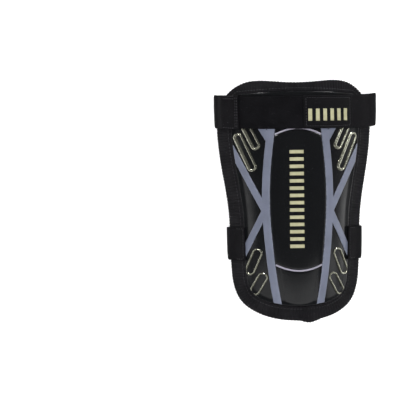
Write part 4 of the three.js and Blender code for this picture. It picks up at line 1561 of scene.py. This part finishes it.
# %% [markdown]
# ## Khaki rims and print
# The rims are painted khaki and glossy, with grains in the paint that sparkle. The printed dashes
# use the same khaki without the sparkle, a little flatter.
# %% Khaki materials
KHAKI = (0.60, 0.60, 0.49)
KHAKI_DARK = (0.14, 0.14, 0.105)
KHAKI_RUBBED = (0.6, 0.58, 0.42)
PRINT_KHAKI = (0.42, 0.405, 0.24)
PRINT_KHAKI_DARK = (0.36, 0.345, 0.20)
rim_finish, tree, shader = new_material("khaki_rim")
sparkle = place_group(tree, mottled, Scale=1500.0, Contrast=0.12)
wear_and_highlight = place_group(tree, edge_wear_and_highlight, Break_up=900.0, Amount=0.3)["Mask"]
base = blend_colours(tree, sparkle["Mask"], KHAKI_DARK, KHAKI)
feed_all(tree, shader, Base_Color=blend_colours(tree, wear_and_highlight, base, KHAKI_RUBBED),
         Roughness=mixed_in(tree, sparkle["Mask"], -0.1, 0.26),
         Metallic=mixed_in(tree, sparkle["Mask"], 0.2, 0.75),
         Normal=bump(tree, sparkle["Height"], 0.00007, 0.6))
dress(rim_finish, *rims)

print_finish, tree, shader = new_material("khaki_print")
cloud = place_group(tree, mottled, Scale=350.0, Contrast=0.2)
wear_and_highlight = place_group(tree, edge_wear_and_highlight, Break_up=1500.0, Amount=0.5)["Mask"]
base = blend_colours(tree, cloud["Mask"], PRINT_KHAKI_DARK, PRINT_KHAKI)
feed_all(tree, shader, Base_Color=blend_colours(tree, wear_and_highlight, base, KHAKI_DARK),
         Roughness=mixed_in(tree, cloud["Mask"], 0.1, 0.42),
         Normal=bump(tree, cloud["Height"], 0.00004, 0.5))
dress(print_finish, *dashes)
print("materials:", rim_finish.name, print_finish.name)

# %% [markdown]
# ## Cloths
# Tape, elastic, tab, loop cloth and lining are all black, yet each is a different black: the tape
# is ribbed and catches light on its folds, the elastic is a tight plain weave, the loop cloth is
# brushed and swallows light, and the lining is a dull knit. One function makes them all, from two
# colours, the pitch of the threads across and along, and the height of a thread.
# %% Cloth materials
GAP_BLACK = (0.003, 0.003, 0.003)
DUST_GREY = (0.10, 0.10, 0.11)


def cloth(name, dark, light, pitch, thread, dusty, gloss, roughness):
    material, tree, shader = new_material(name)
    weave = place_group(tree, woven, Pitch_across=pitch[0], Pitch_along=pitch[1])
    fade = place_group(tree, mottled, Scale=70.0, Contrast=0.25)
    fuzz = place_group(tree, mottled, Scale=1800.0, Contrast=0.25)
    specks = place_group(tree, dust, Scale=700.0, Amount=dusty)["Mask"]
    base = blend_colours(tree, fade["Mask"], dark, light)
    gaps = calculate(tree, "MULTIPLY", weave["Gaps"], 0.5)
    shaded = blend_colours(tree, gaps, base, GAP_BLACK)
    soft = bump(tree, fuzz["Height"], 0.00012, 0.6)
    feed_all(tree, shader, Base_Color=blend_colours(tree, specks, shaded, DUST_GREY),
             Roughness=mixed_in(tree, fuzz["Mask"], 0.1, roughness - 0.05),
             Specular_IOR_Level=gloss,
             Normal=bump(tree, weave["Height"], thread, 0.8, soft))
    return material


tape_finish = cloth("ribbed_tape", (0.0094, 0.0091, 0.0107), (0.0157, 0.0152, 0.0172),
                    pitch=(0.8, 1.35), thread=0.00026, dusty=0.2, gloss=0.04, roughness=0.6)
elastic_finish = cloth("tight_elastic", (0.0040, 0.0037, 0.0048), (0.0059, 0.0056, 0.0071),
                       pitch=(0.7, 0.5), thread=0.00012, dusty=0.15, gloss=0.09, roughness=0.85)
tab_finish = cloth("tab_cloth", (0.0033, 0.0031, 0.0040), (0.0049, 0.0047, 0.0059),
                   pitch=(0.6, 0.6), thread=0.0001, dusty=0.12, gloss=0.07, roughness=0.7)
loop_finish = cloth("brushed_loop_cloth", (0.0038, 0.0037, 0.0046), (0.0062, 0.0060, 0.0073),
                    pitch=(0.9, 0.9), thread=0.00008, dusty=0.08, gloss=0.06, roughness=0.95)
lining_finish = cloth("knitted_lining", (0.014, 0.014, 0.015), (0.022, 0.022, 0.023),
                      pitch=(1.0, 0.8), thread=0.00015, dusty=0.2, gloss=0.25, roughness=0.85)
thread_finish = cloth("black_thread", (0.020, 0.019, 0.023), (0.031, 0.030, 0.035),
                      pitch=(0.4, 0.4), thread=0.00005, dusty=0.0, gloss=0.3, roughness=0.5)
dress(tape_finish, tape)
dress(elastic_finish, upper_elastic, lower_elastic)
dress(tab_finish, tab)
dress(loop_finish, loop_panel)
dress(lining_finish, foam)
dress(thread_finish, *seams)
print("cloth materials ready")

# %% [markdown]
# ## Studio
# The guard was photographed on white, with almost no shadow. A pale floor that glows a little does
# that, and it stays plain round the whole guard.
# %% Floor
FLOOR_HALF = 4
FLOOR_DROP = 0.0002
FLOOR_GREY = (0.86, 0.86, 0.86, 1)
FLOOR_GLOW = 0.55

scene = bpy.context.scene
scene.view_settings.view_transform = "Standard"
scene.view_settings.look = "None"

floor_mesh = bpy.data.meshes.new("studio_floor")
floor_turns = ((-1, -1), (1, -1), (1, 1), (-1, 1))
floor_corners = [(x * FLOOR_HALF, y * FLOOR_HALF, -FLOOR_DROP) for x, y in floor_turns]
floor_mesh.from_pydata(floor_corners, [], [(0, 1, 2, 3)])
floor = bpy.data.objects.new("studio_floor", floor_mesh)
scene.collection.objects.link(floor)
floor_material, tree, shader = new_material("studio_floor")
feed_all(tree, shader, Base_Color=FLOOR_GREY, Roughness=0.9, Emission_Color=(1, 1, 1, 1),
         Emission_Strength=FLOOR_GLOW)
dress(floor_material, floor)
print("floor:", 2 * FLOOR_HALF, "m")

# %% [markdown]
# The glossy shell shows its surroundings more than its own colour. The dome over it is dark
# straight above, where the shell's middle mirrors it, and brighter towards the horizon, where the
# curved sides pick it up. It is weaker at the left, as in the photo.
# %% Dome
DOME_LEVELS = [(0.0, 0.80), (0.10, 0.60), (0.22, 0.30), (0.45, 0.11), (1.0, 0.085)]
DOME_BLUENESS = 1.02
RIGHT_SIDE_GAIN = 0.6
LEFT_SIDE_GAIN = 0.35

world = bpy.data.worlds.new("studio_dome")
scene.world = world
world.use_nodes = True
dome_tree = world.node_tree
background = dome_tree.nodes["Background"]
direction = dome_tree.nodes.new("ShaderNodeTexCoord")
parts = dome_tree.nodes.new("ShaderNodeSeparateXYZ")
ramp = dome_tree.nodes.new("ShaderNodeValToRGB")
feed(dome_tree, parts.inputs[0], direction.outputs["Generated"])
feed(dome_tree, ramp.inputs["Fac"], parts.outputs["Z"])
feed(dome_tree, background.inputs["Color"], ramp.outputs["Color"])
ramp.color_ramp.elements[0].position = DOME_LEVELS[0][0]
ramp.color_ramp.elements[1].position = DOME_LEVELS[-1][0]
for place, _ in DOME_LEVELS[1:-1]:
    ramp.color_ramp.elements.new(place)
for stop, (place, level) in zip(ramp.color_ramp.elements, DOME_LEVELS):
    stop.position = place
    stop.color = (level, level, level * DOME_BLUENESS, 1)
gain = between(dome_tree, parts.outputs["X"], 0.1, 0.9, LEFT_SIDE_GAIN, RIGHT_SIDE_GAIN)
feed(dome_tree, background.inputs["Strength"], gain)
print("dome levels:", len(DOME_LEVELS))

# %% [markdown]
# The lamps do what the dome can't. A large fill overhead lights floor and cloth but isn't mirrored
# in the shell, and a softbox towards the tip puts a pale sheen on the lower shell. Low strips and
# boxes at the sides draw the long gleams down the shell's flanks, a small one high at the right
# sparkles on the rims, and two bright ones past the top end make glints on the shell's upper edge.
# A low fill from that end lifts the tape and the strap's border there.
# %% Lamps
GUARD_MIDDLE = (0, 0, 0.02)
UPPER_EDGE = (0, 0.05, 0.02)


def soft_box(name, place, size, radiance, target=GUARD_MIDDLE, glossy=True, diffuse=True):
    data = bpy.data.lights.new(name, "AREA")
    data.shape = "RECTANGLE"
    data.size, data.size_y = size
    data.energy = radiance * math.pi * size[0] * size[1]
    lamp = bpy.data.objects.new(name, data)
    lamp.location = place
    heading = Vector(place) - Vector(target)
    lamp.rotation_euler = heading.to_track_quat("Z", "Y").to_euler()
    lamp.visible_glossy = glossy
    lamp.visible_diffuse = diffuse
    scene.collection.objects.link(lamp)


soft_box("overhead_fill", (0.0, 0.0, 1.8), (1.6, 1.6), 5.0, (0, 0, 0), glossy=False)
soft_box("tip_box", (0.0, -0.86, 1.73), (4.6, 0.78), 0.92, (0, 0, 0))
soft_box("left_strip", (-1.236, -0.035, 0.377), (0.26, 0.10), 1.5)
soft_box("left_low_box", (-1.27, -0.36, 0.72), (0.18, 0.50), 0.7)
soft_box("right_strip", (1.29, -0.06, 0.07), (0.40, 0.13), 1.55, (0, 0, 0.07))
soft_box("right_low_box", (1.31, -0.27, 0.41), (0.22, 0.34), 0.85)
soft_box("high_right_box", (0.80, 0.50, 0.90), (0.22, 0.22), 9.0, diffuse=False)
soft_box("far_left_box", (-0.83, 0.82, 0.55), (0.16, 0.24), 110.0, UPPER_EDGE, diffuse=False)
soft_box("far_right_box", (1.06, 0.69, 0.59), (0.14, 0.34), 60.0, UPPER_EDGE, diffuse=False)
soft_box("far_end_fill", (0.0, 1.9, 0.36), (1.2, 0.4), 10.0, glossy=False)
print("lamps ready")
